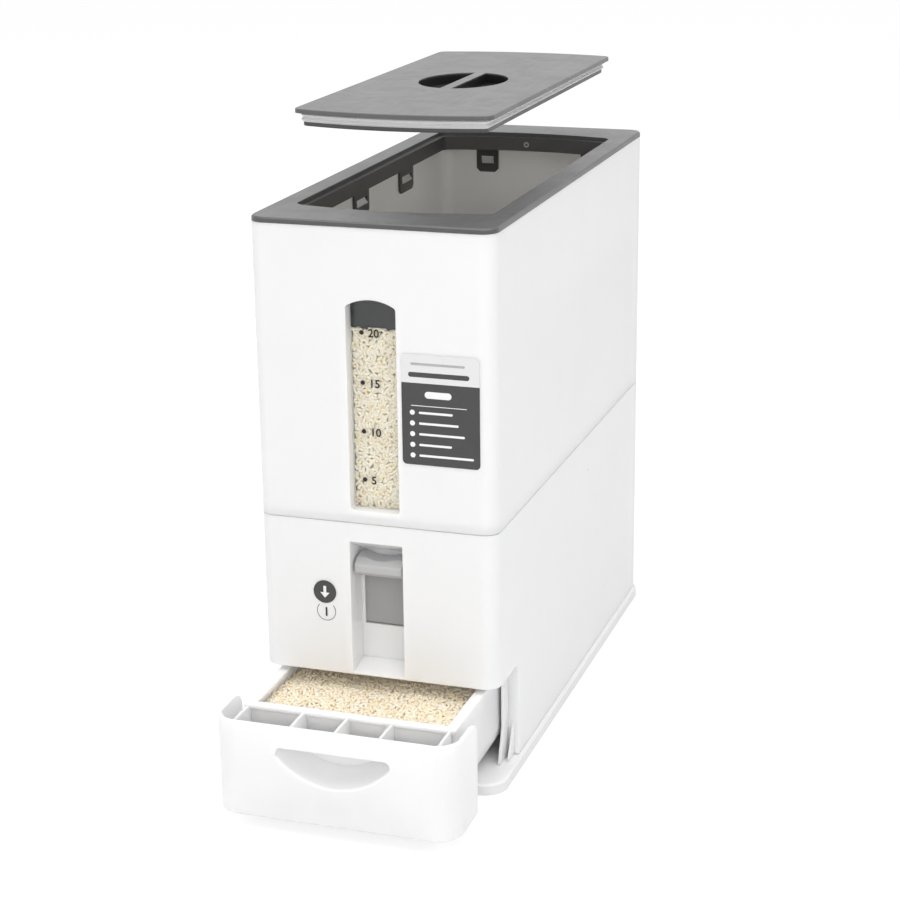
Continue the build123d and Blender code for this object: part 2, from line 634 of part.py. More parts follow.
def lid_core(inset, z):
    """The lid's raised middle, a plain rectangle inside the seal, drawn in and set between heights."""
    x = RIM_OPENING_HALF_WIDTH - SEAL_CORE_INSET - inset
    y = RIM_OPENING_HALF_LENGTH - SEAL_CORE_INSET - inset
    return block((-x, x), (-y, y), z)


def lid_bottom_plate():
    bottom = LID_TOP - LID_STACK
    top = bottom + LID_BOTTOM_PLATE
    plate = bowed_prism(LID_BOTTOM_INSET, (bottom, top))
    plate = chamfer(plate.faces().sort_by(Axis.Z)[0].edges(), FINE_ROUND)
    core = lid_core(0, (top - 0.5, LID_TOP - LID_PLATE))
    core = core - lid_core(CORE_WALL, (top - 1, LID_TOP))
    return plate + core


# ---------------------------------------------------------------- hopper floor
def hopper_floor():
    """The sloping sheet that leads the rice to the meter, with a slot over the drum."""
    def section(y_front, y_back):
        top = [(y_front, floor_line(y_front)), (y_back, floor_line(y_back))]
        low = [(y, z - sheet_drop(y)) for y, z in reversed(top)]
        return top + low
    half = INNER_HALF - FLOOR_SIDE_GAP
    front_edge = DRUM_Y - INLET_HALF_WIDTH
    back_edge = DRUM_Y + INLET_HALF_WIDTH
    front = side_profile(section(INNER_FRONT + 0.3, front_edge - 0.001), (-half, half))
    back = side_profile(section(back_edge + 0.001, INNER_BACK - 0.3), (-half, half))
    strip_y = (front_edge - 0.5, back_edge + 0.5)
    strip_z = (THROAT_HEIGHT - FLOOR_SHEET, THROAT_HEIGHT)
    strip = block((METER_HALF_LENGTH - METER_END, half), strip_y, strip_z)
    middle = block((-METER_CENTRE - 0.6, METER_CENTRE + 0.6), strip_y, strip_z)
    corner = rounded_prism(half, (INNER_FRONT + 0.3, INNER_BACK - 0.3), (0, HOUSING_TOP),
                           HOUSING_CORNER - WALL)
    return (front + back + mirrored(strip) + middle) & corner


# ---------------------------------------------------------------- meter casing and drum
def meter_ring(radius, half):
    return rod_x(radius, (-half, half), DRUM_Y, DRUM_HEIGHT)


def meter_casing():
    """The whole casing round the drum, before it is split at the axle's height."""
    casing = meter_ring(METER_OUTER, METER_HALF_LENGTH)
    casing = casing - meter_ring(METER_INNER, METER_HALF_LENGTH - METER_END)
    casing = casing - meter_ring(AXLE_RADIUS + RUNNING_FIT, METER_HALF_LENGTH + 1)
    open_x = (METER_CENTRE + 0.6, METER_HALF_LENGTH - METER_END)
    collar_reach = INLET_HALF_WIDTH + 2
    collar = block((METER_CENTRE - 1.4, METER_HALF_LENGTH),
                   (DRUM_Y - collar_reach, DRUM_Y + collar_reach),
                   (DRUM_HEIGHT + 18, THROAT_HEIGHT - sheet_drop(DRUM_Y - 1) - 0.1))
    casing = casing + mirrored(collar - meter_ring(METER_INNER, METER_HALF_LENGTH - METER_END))
    inlet = block(open_x, (DRUM_Y - INLET_HALF_WIDTH, DRUM_Y + INLET_HALF_WIDTH),
                  (DRUM_HEIGHT + 12, THROAT_HEIGHT + 5))
    outlet = block(open_x, (DRUM_Y - OUTLET_HALF_WIDTH, DRUM_Y + OUTLET_HALF_WIDTH),
                   (DECK_BOTTOM, DRUM_HEIGHT - 12))
    half_gear = GEAR_WIDTH / 2 + 1.0
    idler_slot = block((-half_gear, half_gear), (DRUM_Y - METER_OUTER - 2, DRUM_Y - 8),
                       (DRUM_HEIGHT - 20, DRUM_HEIGHT + 30))
    return casing - mirrored(inlet) - mirrored(outlet) - idler_slot


def meter_flange(z):
    """The ledges along the casing's front and back where its halves meet."""
    outer = block((-METER_HALF_LENGTH, METER_HALF_LENGTH),
                  (DRUM_Y - METER_OUTER - METER_FLANGE, DRUM_Y + METER_OUTER + METER_FLANGE), z)
    middle = block((-METER_CENTRE - 4, METER_CENTRE + 4), (DRUM_Y - 50, DRUM_Y), (z[0] - 1, z[1] + 1))
    return outer - meter_ring(METER_INNER + 1, METER_HALF_LENGTH + 1) - middle


def meter_trough():
    """The lower half of the casing, which stands on the deck."""
    lower = block((-100, 100), (DRUM_Y - 50, DRUM_Y + 50), (DECK_TOP, DRUM_HEIGHT))
    return (meter_casing() & lower) + meter_flange((DRUM_HEIGHT - METER_FLANGE_HEIGHT, DRUM_HEIGHT))


def meter_cover():
    """The upper half of the casing, with the inlet's collar."""
    upper = block((-100, 100), (DRUM_Y - 50, DRUM_Y + 50), (DRUM_HEIGHT, METER_TOP + 10))
    return (meter_casing() & upper) + meter_flange((DRUM_HEIGHT, DRUM_HEIGHT + METER_FLANGE_HEIGHT))


def drum_half(side):
    """One half of the drum: a round trough with end discs, open at the top while it fills."""
    x = (METER_CENTRE + 0.8, METER_HALF_LENGTH - METER_END - 0.6)
    body = rod_x(DRUM_RADIUS, x, DRUM_Y, DRUM_HEIGHT)
    room = (x[0] + DRUM_DISC, x[1] - DRUM_DISC)
    cavity = rod_x(DRUM_RADIUS - DRUM_SHELL, room, DRUM_Y, DRUM_HEIGHT)
    reach = 2 * DRUM_RADIUS
    spread = reach * tan(radians(DRUM_OPENING))
    mouth = side_profile([(DRUM_Y, DRUM_HEIGHT), (DRUM_Y + spread, DRUM_HEIGHT + reach),
                          (DRUM_Y - spread, DRUM_HEIGHT + reach)], room)
    half = body - cavity - mouth
    half = half - rod_x(AXLE_RADIUS, (0, 100), DRUM_Y, DRUM_HEIGHT)
    return half if side > 0 else mirror(half, about=Plane.YZ)


def drum_axle():
    end = METER_HALF_LENGTH + AXLE_END
    return rod_x(AXLE_RADIUS, (-end, end), DRUM_Y, DRUM_HEIGHT)


# ---------------------------------------------------------------- gears and rack
def involute_angle(radius, base):
    """Polar angle of the involute at a radius, from where it leaves the base circle."""
    if radius <= base:
        return 0.0
    pressure = acos(base / radius)
    return tan(pressure) - pressure


def gear_outline(teeth, first_tooth):
    """Closed list of (y, z) points of a spur gear; first_tooth is one tooth's angle."""
    pitch = MODULE * teeth / 2
    base = pitch * cos(radians(PRESSURE_ANGLE))
    tip = pitch + ADDENDUM * MODULE
    root = pitch - DEDENDUM * MODULE
    half_tooth = pi / (2 * teeth) - BACKLASH / 4 / pitch
    at_pitch = involute_angle(pitch, base)
    start = max(root, base)
    radii = [start, tip]
    if root < base:
        radii = [root] + radii
    points = []
    for tooth in range(teeth):
        middle = first_tooth + 2 * pi * tooth / teeth
        flank = [(r, half_tooth + at_pitch - involute_angle(r, base)) for r in radii]
        rising = [(r, middle - angle) for r, angle in flank]
        falling = [(r, middle + angle) for r, angle in reversed(flank)]
        points += rising + falling
    return [(r * cos(a), r * sin(a)) for r, a in points]


def spur_gear(teeth, first_tooth, centre, bore):
    face = Plane.YZ * make_face(Polyline(*gear_outline(teeth, first_tooth), close=True))
    gear = extrude(face, amount=GEAR_WIDTH / 2, both=True)
    gear = gear - Rot(0, 90, 0) * Cylinder(bore, GEAR_WIDTH + 2)
    return Pos(0, *centre) * gear


def idler_first_tooth():
    """A gap of the idler faces the rack, which has a tooth at the idler's height."""
    return pi + pi / IDLER_TEETH


def pinion_first_tooth():
    """The pinion's tooth that stands in the idler's gap nearest the line of centres."""
    line = atan2(DRUM_HEIGHT - IDLER_HEIGHT, DRUM_Y - IDLER_Y)
    idler_pitch = 2 * pi / IDLER_TEETH
    pitches = (line - pi) / idler_pitch
    offset = round(pitches) - pitches
    return line + pi - offset * 2 * pi / PINION_TEETH


def idler_gear():
    return spur_gear(IDLER_TEETH, idler_first_tooth(), (IDLER_Y, IDLER_HEIGHT),
                     AXLE_RADIUS + RUNNING_FIT)


def drum_pinion():
    gear = spur_gear(PINION_TEETH, pinion_first_tooth(), (DRUM_Y, DRUM_HEIGHT), AXLE_RADIUS)
    sleeve = rod_x(AXLE_RADIUS + 1.8, (-METER_CENTRE - 0.8, METER_CENTRE + 0.8), DRUM_Y, DRUM_HEIGHT)
    return gear + sleeve - rod_x(AXLE_RADIUS, (-20, 20), DRUM_Y, DRUM_HEIGHT)


def idler_pin():
    return rod_x(AXLE_RADIUS, (-PIN_HALF_LENGTH, PIN_HALF_LENGTH), IDLER_Y, IDLER_HEIGHT)


def gear_bracket():
    """Two cheeks that stand on the deck and hold the idler's pin."""
    cheek = block((5.0, 7.6), (IDLER_Y - 6, DRUM_Y - METER_OUTER - 1), (DECK_TOP, IDLER_HEIGHT + 7))
    foot = block((5.0, 7.6), (IDLER_Y - 6, DRUM_Y - METER_OUTER - 1), (DECK_TOP, DECK_TOP + 2))
    cheeks = mirrored(cheek + foot)
    bridge = block((-7.6, 7.6), (IDLER_Y - 6, DRUM_Y - METER_OUTER - 1), (DECK_TOP, DECK_TOP + 2))
    return cheeks + bridge - rod_x(AXLE_RADIUS, (-20, 20), IDLER_Y, IDLER_HEIGHT)


def rack_teeth():
    """Rack teeth on the slider's back, from just below the idler to the end of the travel."""
    pitch = pi * MODULE
    tip = RACK_PITCH_LINE + ADDENDUM * MODULE
    root = RACK_PITCH_LINE - DEDENDUM * MODULE
    slope = tan(radians(PRESSURE_ANGLE))
    half = pitch / 4 - BACKLASH / 4
    upper = int((LEVER_TRAVEL + 6) / pitch) + 1
    points = [(SLIDER_BACK - 0.5, SLIDER_BOTTOM), (root, SLIDER_BOTTOM)]
    for index in range(upper):
        middle = IDLER_HEIGHT + index * pitch
        wide = half + DEDENDUM * MODULE * slope
        narrow = half - ADDENDUM * MODULE * slope
        points += [(root, middle - wide), (tip, middle - narrow), (tip, middle + narrow),
                   (root, middle + wide)]
    top = IDLER_HEIGHT + (upper - 0.6) * pitch
    points += [(root, top), (SLIDER_BACK - 0.5, top)]
    return side_profile(points, (-RACK_WIDTH / 2, RACK_WIDTH / 2))


# ---------------------------------------------------------------- lever
def lever_slider():
    """The plate behind the slot, with guided edges, spring lugs and the rack."""
    plate = block((-SLIDER_HALF_WIDTH, SLIDER_HALF_WIDTH), (SLIDER_FRONT, SLIDER_BACK),
                  (SLIDER_BOTTOM, SLIDER_TOP))
    edge = block((SLIDER_HALF_WIDTH - 3.2, SLIDER_HALF_WIDTH),
                 (SLIDER_FRONT, FRAME_FRONT - 0.3), (SLIDER_BOTTOM, SLIDER_TOP))
    lug = block((SPRING_X - 3, SPRING_X + 3), (SLIDER_BACK - 0.5, FRAME_FRONT + 1.2),
                (IDLER_HEIGHT, IDLER_HEIGHT + 3))
    return plate + mirrored(edge) + mirrored(lug) + rack_teeth()


def lever_knob():
    """The thumb bar: a rounded underside, a scooped top and a stem through the slot."""
    low, high = KNOB_BOTTOM, KNOB_TOP
    back = NICHE_BACK - 0.6
    outline = [(back, low + 3), (back, high), (KNOB_FRONT + 6, high - 1.5), (KNOB_FRONT, high - 6),
               (KNOB_FRONT + 0.6, low + 4), (KNOB_FRONT + 6, low)]
    bar = side_profile(outline, (-KNOB_HALF_WIDTH, KNOB_HALF_WIDTH))
    long_edges = bar.edges().filter_by(Axis.X)
    front_edges = long_edges.filter_by_position(Axis.Y, KNOB_FRONT - 1, KNOB_FRONT + 7)
    bar = fillet(front_edges, 1.8)
    bar = bar - rod_y(KNOB_SCOOP, 0, (KNOB_FRONT - 5, back + 5), high + KNOB_SCOOP - KNOB_SCOOP_DEPTH)
    stem = block((-KNOB_STEM_HALF_WIDTH, KNOB_STEM_HALF_WIDTH), (back - 1, SLIDER_FRONT),
                 (SLOT_TOP - 1 - KNOB_STEM, SLOT_TOP - 1))
    return bar + stem


def lever_guide():
    """The frame behind the slider, which keeps it in its rails and holds the springs."""
    y = (FRAME_FRONT, FRAME_FRONT + FRAME_THICKNESS)
    strip = block((FRAME_INNER + 1, RAIL_OUTER), y, (RAIL_BOTTOM, RAIL_TOP))
    bar = block((-RAIL_OUTER, RAIL_OUTER), y, (FRAME_BAR_BOTTOM, RAIL_TOP))
    hook = block((SPRING_X - 3, SPRING_X + 3), (SLIDER_BACK + 0.6, FRAME_FRONT + 1),
                 (FRAME_BAR_BOTTOM, FRAME_BAR_BOTTOM + 3))
    return mirrored(strip + hook) + bar


def return_springs():
    """Two extension springs from the slider's lugs up to the guide frame."""
    low, high = IDLER_HEIGHT + 3, FRAME_BAR_BOTTOM
    y = (SLIDER_BACK + FRAME_FRONT + 1.2) / 2 + 0.3
    return [rod_z(SPRING_RADIUS, side * SPRING_X, y, (low, high)) for side in (-1, 1)]


# ---------------------------------------------------------------- drawer
def handle_outline(grow, y):
    """The handle pocket's outline at a depth y: a flat top over a round arc, with soft ends."""
    middle = HANDLE_BOTTOM + HANDLE_ARC
    top = HANDLE_TOP + grow
    arc = HANDLE_ARC + grow
    corner = sqrt(arc ** 2 - (middle - top) ** 2)
    edges = [
        Line((corner, top), (-corner, top)),
        ThreePointArc((-corner, top), (0, middle - arc), (corner, top)),
    ]
    outline = fillet(make_face(edges).vertices(), HANDLE_END_RADIUS + grow)
    return Pos(0, y, 0) * (Plane.XZ * outline)


def handle_solid(grow, y):
    """The pocket's scoop, cut from a ball, with a flat top and a flat back."""
    lead = (HANDLE_ARC ** 2 - (HANDLE_ARC - HANDLE_RISE) ** 2 - HANDLE_DEPTH ** 2) / (2 * HANDLE_DEPTH)
    ball = Sphere(hypot(HANDLE_ARC, lead) + grow)
    prism = extrude(handle_outline(grow, y[1]), amount=y[1] - y[0])
    return prism & (Pos(0, FRONT - lead, HANDLE_BOTTOM + HANDLE_ARC) * ball)


def drawer_front():
    z = (FRONT_BOTTOM, FRONT_TOP)
    rear = FRONT + WING_LENGTH
    outer = rounded_prism(FRONT_HALF_WIDTH, (FRONT, rear + 60), z, FRONT_CORNER)
    outer = chamfer(outer.faces().filter_by(Axis.Z).edges(), EDGE_ROUND * 0.8)
    inner = rounded_prism(FRONT_HALF_WIDTH - FRONT_THICKNESS, (FRONT + FRONT_THICKNESS, rear + 90),
                          (z[0] - 1, z[1] + 1), FRONT_CORNER - FRONT_THICKNESS)
    shell = outer - inner
    side = make_face(Polyline((FRONT - 1, 0), (rear, 0), (rear, FRONT_TOP), (FRONT - 1, FRONT_TOP),
                              close=True))
    keep = Pos(-HOUSING_WIDTH, 0, 0) * extrude(Plane.YZ * side, amount=2 * HOUSING_WIDTH)
    corner = keep.edges().filter_by(Axis.X).sort_by_distance((0, rear, FRONT_TOP))[0]
    shell = shell & fillet(corner, WING_CORNER)
    shell = shell + handle_solid(HANDLE_SKIN, (FRONT + 0.5, FRONT + HANDLE_DEPTH + HANDLE_SKIN))
    shell = shell - handle_solid(0, (FRONT - 0.2, FRONT + HANDLE_DEPTH))
    shell = shell - loft([handle_outline(EDGE_ROUND, FRONT - 0.01),
                          handle_outline(0, FRONT + EDGE_ROUND)], ruled=True)
    for x in DRAWER_BOSSES:
        shell = shell + block((x - 3, x + 3), (FRONT + 1, FRONT + FRONT_THICKNESS + TRAY_GAP),
                              (BIN_BOTTOM + 4, BIN_BOTTOM + 14))
    return Pos(0, -DRAWER_PULL, 0) * shell


def drawer_bin():
    y = (BIN_FRONT + BIN_RIM_REACH, BIN_FRONT + BIN_LENGTH - BIN_RIM_REACH)
    profile = Plane.XZ * make_face(Polyline(
        (-BIN_HALF_WIDTH, BIN_BOTTOM), (BIN_HALF_WIDTH, BIN_BOTTOM),
        (BIN_HALF_WIDTH, BIN_RIM_TOP), (-BIN_HALF_WIDTH, BIN_RIM_TOP), close=True))
    outer = Pos(0, y[1], 0) * extrude(profile, amount=y[1] - y[0])
    outer = fillet(outer.edges().filter_by(Axis.Y).sort_by(Axis.Z)[:2], BIN_BOTTOM_RADIUS)
    inner_profile = Plane.XZ * make_face(Polyline(
        (-BIN_HALF_WIDTH + BIN_WALL, BIN_BOTTOM + BIN_WALL),
        (BIN_HALF_WIDTH - BIN_WALL, BIN_BOTTOM + BIN_WALL),
        (BIN_HALF_WIDTH - BIN_WALL, BIN_RIM_TOP + 5),
        (-BIN_HALF_WIDTH + BIN_WALL, BIN_RIM_TOP + 5), close=True))
    room = (y[0] + BIN_WALL, y[1] - BIN_WALL)
    inner = Pos(0, room[1], 0) * extrude(inner_profile, amount=room[1] - room[0])
    inner = fillet(inner.edges().filter_by(Axis.Y).sort_by(Axis.Z)[:2], BIN_BOTTOM_RADIUS - BIN_WALL)
    rim_half = BIN_HALF_WIDTH + BIN_RIM_REACH
    rim_y = (y[0] - BIN_RIM_REACH, y[1] + BIN_RIM_REACH)
    rim = rounded_prism(rim_half, rim_y, (BIN_RIM_TOP - BIN_RIM_THICKNESS, BIN_RIM_TOP), 2.0)
    rim = rim - block((-rim_half + BIN_RIM_WIDTH, rim_half - BIN_RIM_WIDTH),
                      (rim_y[0] + BIN_RIM_WIDTH, rim_y[1] - BIN_RIM_WIDTH),
                      (BIN_RIM_TOP - 10, BIN_RIM_TOP + 1))
    box = outer - inner + rim

    tray_front = FRONT + FRONT_THICKNESS + TRAY_GAP
    tray = block((-BIN_HALF_WIDTH + 12, BIN_HALF_WIDTH - 12), (tray_front, y[0] + 1),
                 (BIN_BOTTOM, BIN_BOTTOM + BIN_WALL))
    flange = block((-BIN_HALF_WIDTH + 12, BIN_HALF_WIDTH - 12), (tray_front, tray_front + BIN_WALL),
                   (BIN_BOTTOM, BIN_BOTTOM + 17))
    box = box + tray + flange
    rib_front = FRONT + FRONT_THICKNESS + 0.7
    for place in RIB_PLACES:
        inside = abs(place) < HANDLE_ARC
        low = HANDLE_TOP + HANDLE_SKIN + 5.5 if inside else BIN_BOTTOM + BIN_BOTTOM_RADIUS
        points = [(rib_front, low), (y[0] + 1, low), (y[0] + 1, BIN_RIM_TOP - 0.2),
                  (rib_front, BIN_RIM_TOP - 0.2)]
        box = box + side_profile(points, (place - RIB_THICKNESS / 2, place + RIB_THICKNESS / 2))
        if inside:
            pocket_back = FRONT + HANDLE_DEPTH + HANDLE_SKIN + 1.0
            box = box + side_profile([(pocket_back, BIN_BOTTOM), (y[0] + 1, BIN_BOTTOM),
                                      (y[0] + 1, low + 1), (pocket_back, low + 1)],
                                     (place - RIB_THICKNESS / 2, place + RIB_THICKNESS / 2))
    return Pos(0, -DRAWER_PULL, 0) * box


# ---------------------------------------------------------------- write every node
def group(shapes):
    return Compound(children=[shape for shape in shapes])


def all_nodes():
    nodes = {
        "base_plate": base_plate(),
        "lower_housing": lower_housing(),
        "upper_housing": upper_housing(),
        "window_lens": window_lens(),
        "window_frame": window_frame(),
        "rim_frame": rim_frame(),
        "hopper_floor": hopper_floor(),
        "meter_trough": meter_trough(),
        "meter_cover": meter_cover(),
        "drum_left": drum_half(-1),
        "drum_right": drum_half(1),
        "drum_axle": drum_axle(),
        "drum_pinion": drum_pinion(),
        "idler_gear": idler_gear(),
        "idler_pin": idler_pin(),
        "gear_bracket": gear_bracket(),
        "lever_slider": lever_slider(),
        "lever_knob": lever_knob(),
        "lever_guide": lever_guide(),
        "return_springs": group(return_springs()),
        "lid_top_plate": lid_top_plate(),
        "lid_seal": lid_seal(),
        "lid_bottom_plate": lid_bottom_plate(),
        "drawer_front": drawer_front(),
        "drawer_bin": drawer_bin(),
    }
    names = ("pad_front_left", "pad_front_right", "pad_back_left", "pad_back_right")
    for name, (x, y) in zip(names, pad_places()):
        nodes[name] = pad_block(x, y)
    return nodes


if __name__ == "__main__":
    os.makedirs("parts", exist_ok=True)
    for name, shape in all_nodes().items():
        shape.label = name
        export_step(shape, f"parts/{name}.step")
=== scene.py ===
"""Rice dispenser with a drawer: finishes, printed marks, rice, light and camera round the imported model.

Metres, in the model's own frame: X runs to the right, Y to the back and Z up, and the origin is
on the floor under the middle of the housing. Sizes of small things are written in millimetres.
"""
import math
import random

import bmesh
import bpy
from mathutils import Matrix, Vector


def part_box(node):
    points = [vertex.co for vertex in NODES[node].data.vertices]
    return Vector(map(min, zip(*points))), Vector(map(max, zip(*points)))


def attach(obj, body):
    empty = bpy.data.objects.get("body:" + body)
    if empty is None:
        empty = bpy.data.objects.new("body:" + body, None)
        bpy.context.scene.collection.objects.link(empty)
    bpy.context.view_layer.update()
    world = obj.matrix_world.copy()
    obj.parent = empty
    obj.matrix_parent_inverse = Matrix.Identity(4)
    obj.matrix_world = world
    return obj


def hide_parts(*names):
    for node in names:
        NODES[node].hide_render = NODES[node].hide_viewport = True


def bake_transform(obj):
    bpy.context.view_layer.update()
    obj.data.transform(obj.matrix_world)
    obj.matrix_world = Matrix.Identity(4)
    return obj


MM = 0.001

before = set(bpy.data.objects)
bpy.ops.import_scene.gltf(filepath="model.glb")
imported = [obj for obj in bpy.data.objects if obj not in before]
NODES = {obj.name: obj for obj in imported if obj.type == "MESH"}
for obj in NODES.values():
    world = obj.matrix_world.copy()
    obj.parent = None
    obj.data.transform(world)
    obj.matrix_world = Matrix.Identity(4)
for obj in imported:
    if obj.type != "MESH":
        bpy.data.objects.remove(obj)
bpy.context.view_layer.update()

# camera: fitted to the photograph's edges, its angles in degrees and its focal length in pixels
IMAGE_SIDE = 900
FOCAL_PIXELS = 2129.893
SENSOR = 36.0
CAMERA_AZIMUTH = 18.515
CAMERA_ELEVATION = 17.67
CAMERA_ROLL = -0.745
CAMERA_PLACE = (517.722 * MM, -1591.0 * MM, 729.539 * MM)

# rice: a grain, the level at the window, and how far the portion lies under the bin's top
GRAIN_LENGTH = 5.6 * MM
GRAIN_WIDTH = 2.5 * MM
RICE_LEVEL = 350.4 * MM
DRAWER_RICE_DROP = 9.5 * MM

# printing: ink stands a little off its sheet, and a sheet off the plastic;
# DIGIT_SHARE is a digit's height over its font size
PRINT_THICKNESS = 0.06 * MM
DECAL_THICKNESS = 0.12 * MM
DIGIT_SHARE = 0.73

# window scale: each number with the height of its mark on the lens, from the fullest down
SCALE_MARKS = ((20, 348.2 * MM), (15, 310.8 * MM), (10, 274.1 * MM), (5, 237.3 * MM))
SCALE_DOT_X = -10.3 * MM
SCALE_DOT_RADIUS = 1.75 * MM
SCALE_NUMBER_X = -5.4 * MM
SCALE_NUMBER_HEIGHT = 6.2 * MM
SCALE_NUMBER_WEIGHT = 0.17 * MM

# label, in millimetres: its outline, and the five plain lines that stand for its list
LABEL_SIDES = (22.5, 81.0)
LABEL_FOOT, LABEL_MIDDLE, LABEL_TOP = 255.5, 316.5, 337.5
LABEL_CORNER = 3.2
LIST_LENGTHS = (25.5, 29.8, 34.4, 24.6, 41.0)
LIST_LEFT, LIST_DOT_X = 35.3, 30.4
LIST_TOP, LIST_STEP = 294.6, 8.0

# round marks beside the lever: the dark disc, and below it the part of a ring between two angles
PRESS_CENTRE = (-41.2 * MM, 149.4 * MM)
PRESS_RADIUS = 9 * MM
PORTION_CENTRE = (-40.4 * MM, 134.0 * MM)
PORTION_RADII = (7.5 * MM, 7.1 * MM)
PORTION_SPAN = (-222.0, 42.0)
PORTION_DIGIT = 7.2 * MM
PORTION_DIGIT_WEIGHT = 0.2 * MM
PORTION_DIGIT_DROP = 3.8 * MM

# marks left by the mould
GATE_Y, GATE_Z = -52 * MM, 264 * MM
COLLAR_MARK_Z = 420.5 * MM

# screws: the middle of each head in millimetres, and the height of the plinth's screw seats
BASE_SCREWS = ((-70.5, -109.4), (-70.5, 37.3), (70.5, -109.4), (70.5, 37.3),
               (-23.5, -182.8), (-23.5, 184.1), (23.5, -182.8), (23.5, 184.1))
LID_SCREWS = ((-48, -120), (48, -120), (-48, 120), (48, 120))
BASE_SCREW_SEAT = 6.0 * MM


# ---------------------------------------------------------------- node helpers
FLOAT, COLOUR, VECTOR = "NodeSocketFloat", "NodeSocketColor", "NodeSocketVector"

# the Mix node's places for colours, which share their names with those for numbers
MIX_FIRST, MIX_SECOND, MIX_RESULT = 6, 7, 2


def make_group(name, inputs, outputs):
    """A shader node group with named sockets: (tree, its input node, its output node)."""
    tree = bpy.data.node_groups.new(name, "ShaderNodeTree")
    for label, kind, value in inputs:
        socket = tree.interface.new_socket(label, in_out="INPUT", socket_type=kind)
        socket.default_value = value
    for label, kind in outputs:
        tree.interface.new_socket(label, in_out="OUTPUT", socket_type=kind)
    return tree, tree.nodes.new("NodeGroupInput"), tree.nodes.new("NodeGroupOutput")


def set_inputs(tree, node, values):
    """The node, with each input set to a value or linked from an output."""
    for label, value in values.items():
        socket = node.inputs[label]
        if isinstance(value, bpy.types.NodeSocket):
            tree.links.new(value, socket)
        else:
            socket.default_value = value
    return node


def spaced(values):
    """Keyword values by their sockets' names, in which underscores stand for spaces."""
    return {label.replace("_", " "): value for label, value in values.items()}


def add_node(tree, kind, inputs=None, **settings):
    """A node with its settings and its inputs."""
    node = tree.nodes.new(kind)
    for key, value in settings.items():
        setattr(node, key, value)
    return set_inputs(tree, node, inputs or {})


def add_math(tree, operation, first, second=0.5, clamp=False):
    """One arithmetic step; first and second are numbers or outputs."""
    return add_node(tree, "ShaderNodeMath", {0: first, 1: second},
                    operation=operation, use_clamp=clamp).outputs[0]


def mix_colour(tree, factor, first, second):
    """A blend of two colours: the first where the factor is 0, the second where it is 1."""
    mix = add_node(tree, "ShaderNodeMix", {"Factor": factor, MIX_FIRST: first, MIX_SECOND: second},
                   data_type="RGBA")
    return mix.outputs[MIX_RESULT]


def bumped(tree, height, strength, normal=None):
    """A normal that follows a height in metres, over an underlying normal where one is given."""
    inputs = {"Strength": strength, "Distance": 1.0, "Height": height}
    if normal is not None:
        inputs["Normal"] = normal
    return add_node(tree, "ShaderNodeBump", inputs).outputs[0]


def use_group(tree, group, **values):
    """A placed group, its inputs named by keyword."""
    node = tree.nodes.new("ShaderNodeGroup")
    node.node_tree = group
    return set_inputs(tree, node, spaced(values))


def object_noise(tree, size, detail=2.0, roughness=0.5, distortion=0.0, stretch=None):
    """Noise on the piece's own coordinates, with features about as large as size in metres."""
    place = add_node(tree, "ShaderNodeTexCoord").outputs["Object"]
    if stretch:
        place = add_node(tree, "ShaderNodeMapping", {"Vector": place, "Scale": stretch}).outputs[0]
    scale = add_math(tree, "DIVIDE", 1.0, size)
    return add_node(tree, "ShaderNodeTexNoise", {
        "Vector": place, "Scale": scale, "Detail": detail, "Roughness": roughness,
        "Distortion": distortion}).outputs["Fac"]


def build_moulded_skin():
    """The faint orange-peel of a moulded face, as a height in metres."""
    tree, given, result = make_group("moulded_skin", [
        ("Size", FLOAT, 0.0012), ("Depth", FLOAT, 0.00001)], [("Height", FLOAT)])
    fine = object_noise(tree, given.outputs["Size"], 3.0, 0.55)
    broad = object_noise(tree, add_math(tree, "MULTIPLY", given.outputs["Size"], 22.0), 1.0)
    both = add_math(tree, "ADD", fine, add_math(tree, "MULTIPLY", broad, 3.0))
    height = add_math(tree, "MULTIPLY", both, given.outputs["Depth"])
    tree.links.new(height, result.inputs["Height"])
    return tree


def build_tone_drift():
    """A slow drift between two close tones, as in any moulded or painted surface."""
    tree, given, result = make_group("tone_drift", [
        ("Tone", COLOUR, (0.8, 0.8, 0.8, 1)), ("Other Tone", COLOUR, (0.75, 0.75, 0.75, 1)),
        ("Size", FLOAT, 0.05)], [("Colour", COLOUR)])
    noise = object_noise(tree, given.outputs["Size"], 4.0, 0.6, 0.6)
    ramp = add_node(tree, "ShaderNodeMapRange", {
        "Value": noise, "From Min": 0.3, "From Max": 0.7}, interpolation_type="SMOOTHSTEP")
    drifted = mix_colour(tree, ramp.outputs[0], given.outputs["Tone"], given.outputs["Other Tone"])
    tree.links.new(drifted, result.inputs["Colour"])
    return tree


def build_handling():
    """Roughness with soft smudges where hands go and fine rub marks across them."""
    tree, given, result = make_group("handling", [
        ("Roughness", FLOAT, 0.35), ("Spread", FLOAT, 0.08)], [("Roughness", FLOAT)])
    smudge = object_noise(tree, 0.035, 3.0, 0.65, 1.2)
    rub = object_noise(tree, 0.004, 2.0, 0.5, 0.0, (1.0, 0.06, 1.0))
    both = add_math(tree, "ADD", smudge, add_math(tree, "MULTIPLY", rub, 0.35))
    away = add_math(tree, "SUBTRACT", both, 0.67)
    step = add_math(tree, "MULTIPLY", away, add_math(tree, "MULTIPLY", given.outputs["Spread"], 4.0))
    rough = add_math(tree, "ADD", given.outputs["Roughness"], step, True)
    tree.links.new(rough, result.inputs["Roughness"])
    return tree


def build_soft_edges():
    """A normal that rounds the model's sharp edges over a small radius."""
    tree, given, result = make_group("soft_edges", [("Radius", FLOAT, 0.0008)], [("Normal", VECTOR)])
    bevel = add_node(tree, "ShaderNodeBevel", {"Radius": given.outputs["Radius"]}, samples=4)
    tree.links.new(bevel.outputs[0], result.inputs["Normal"])
    return tree


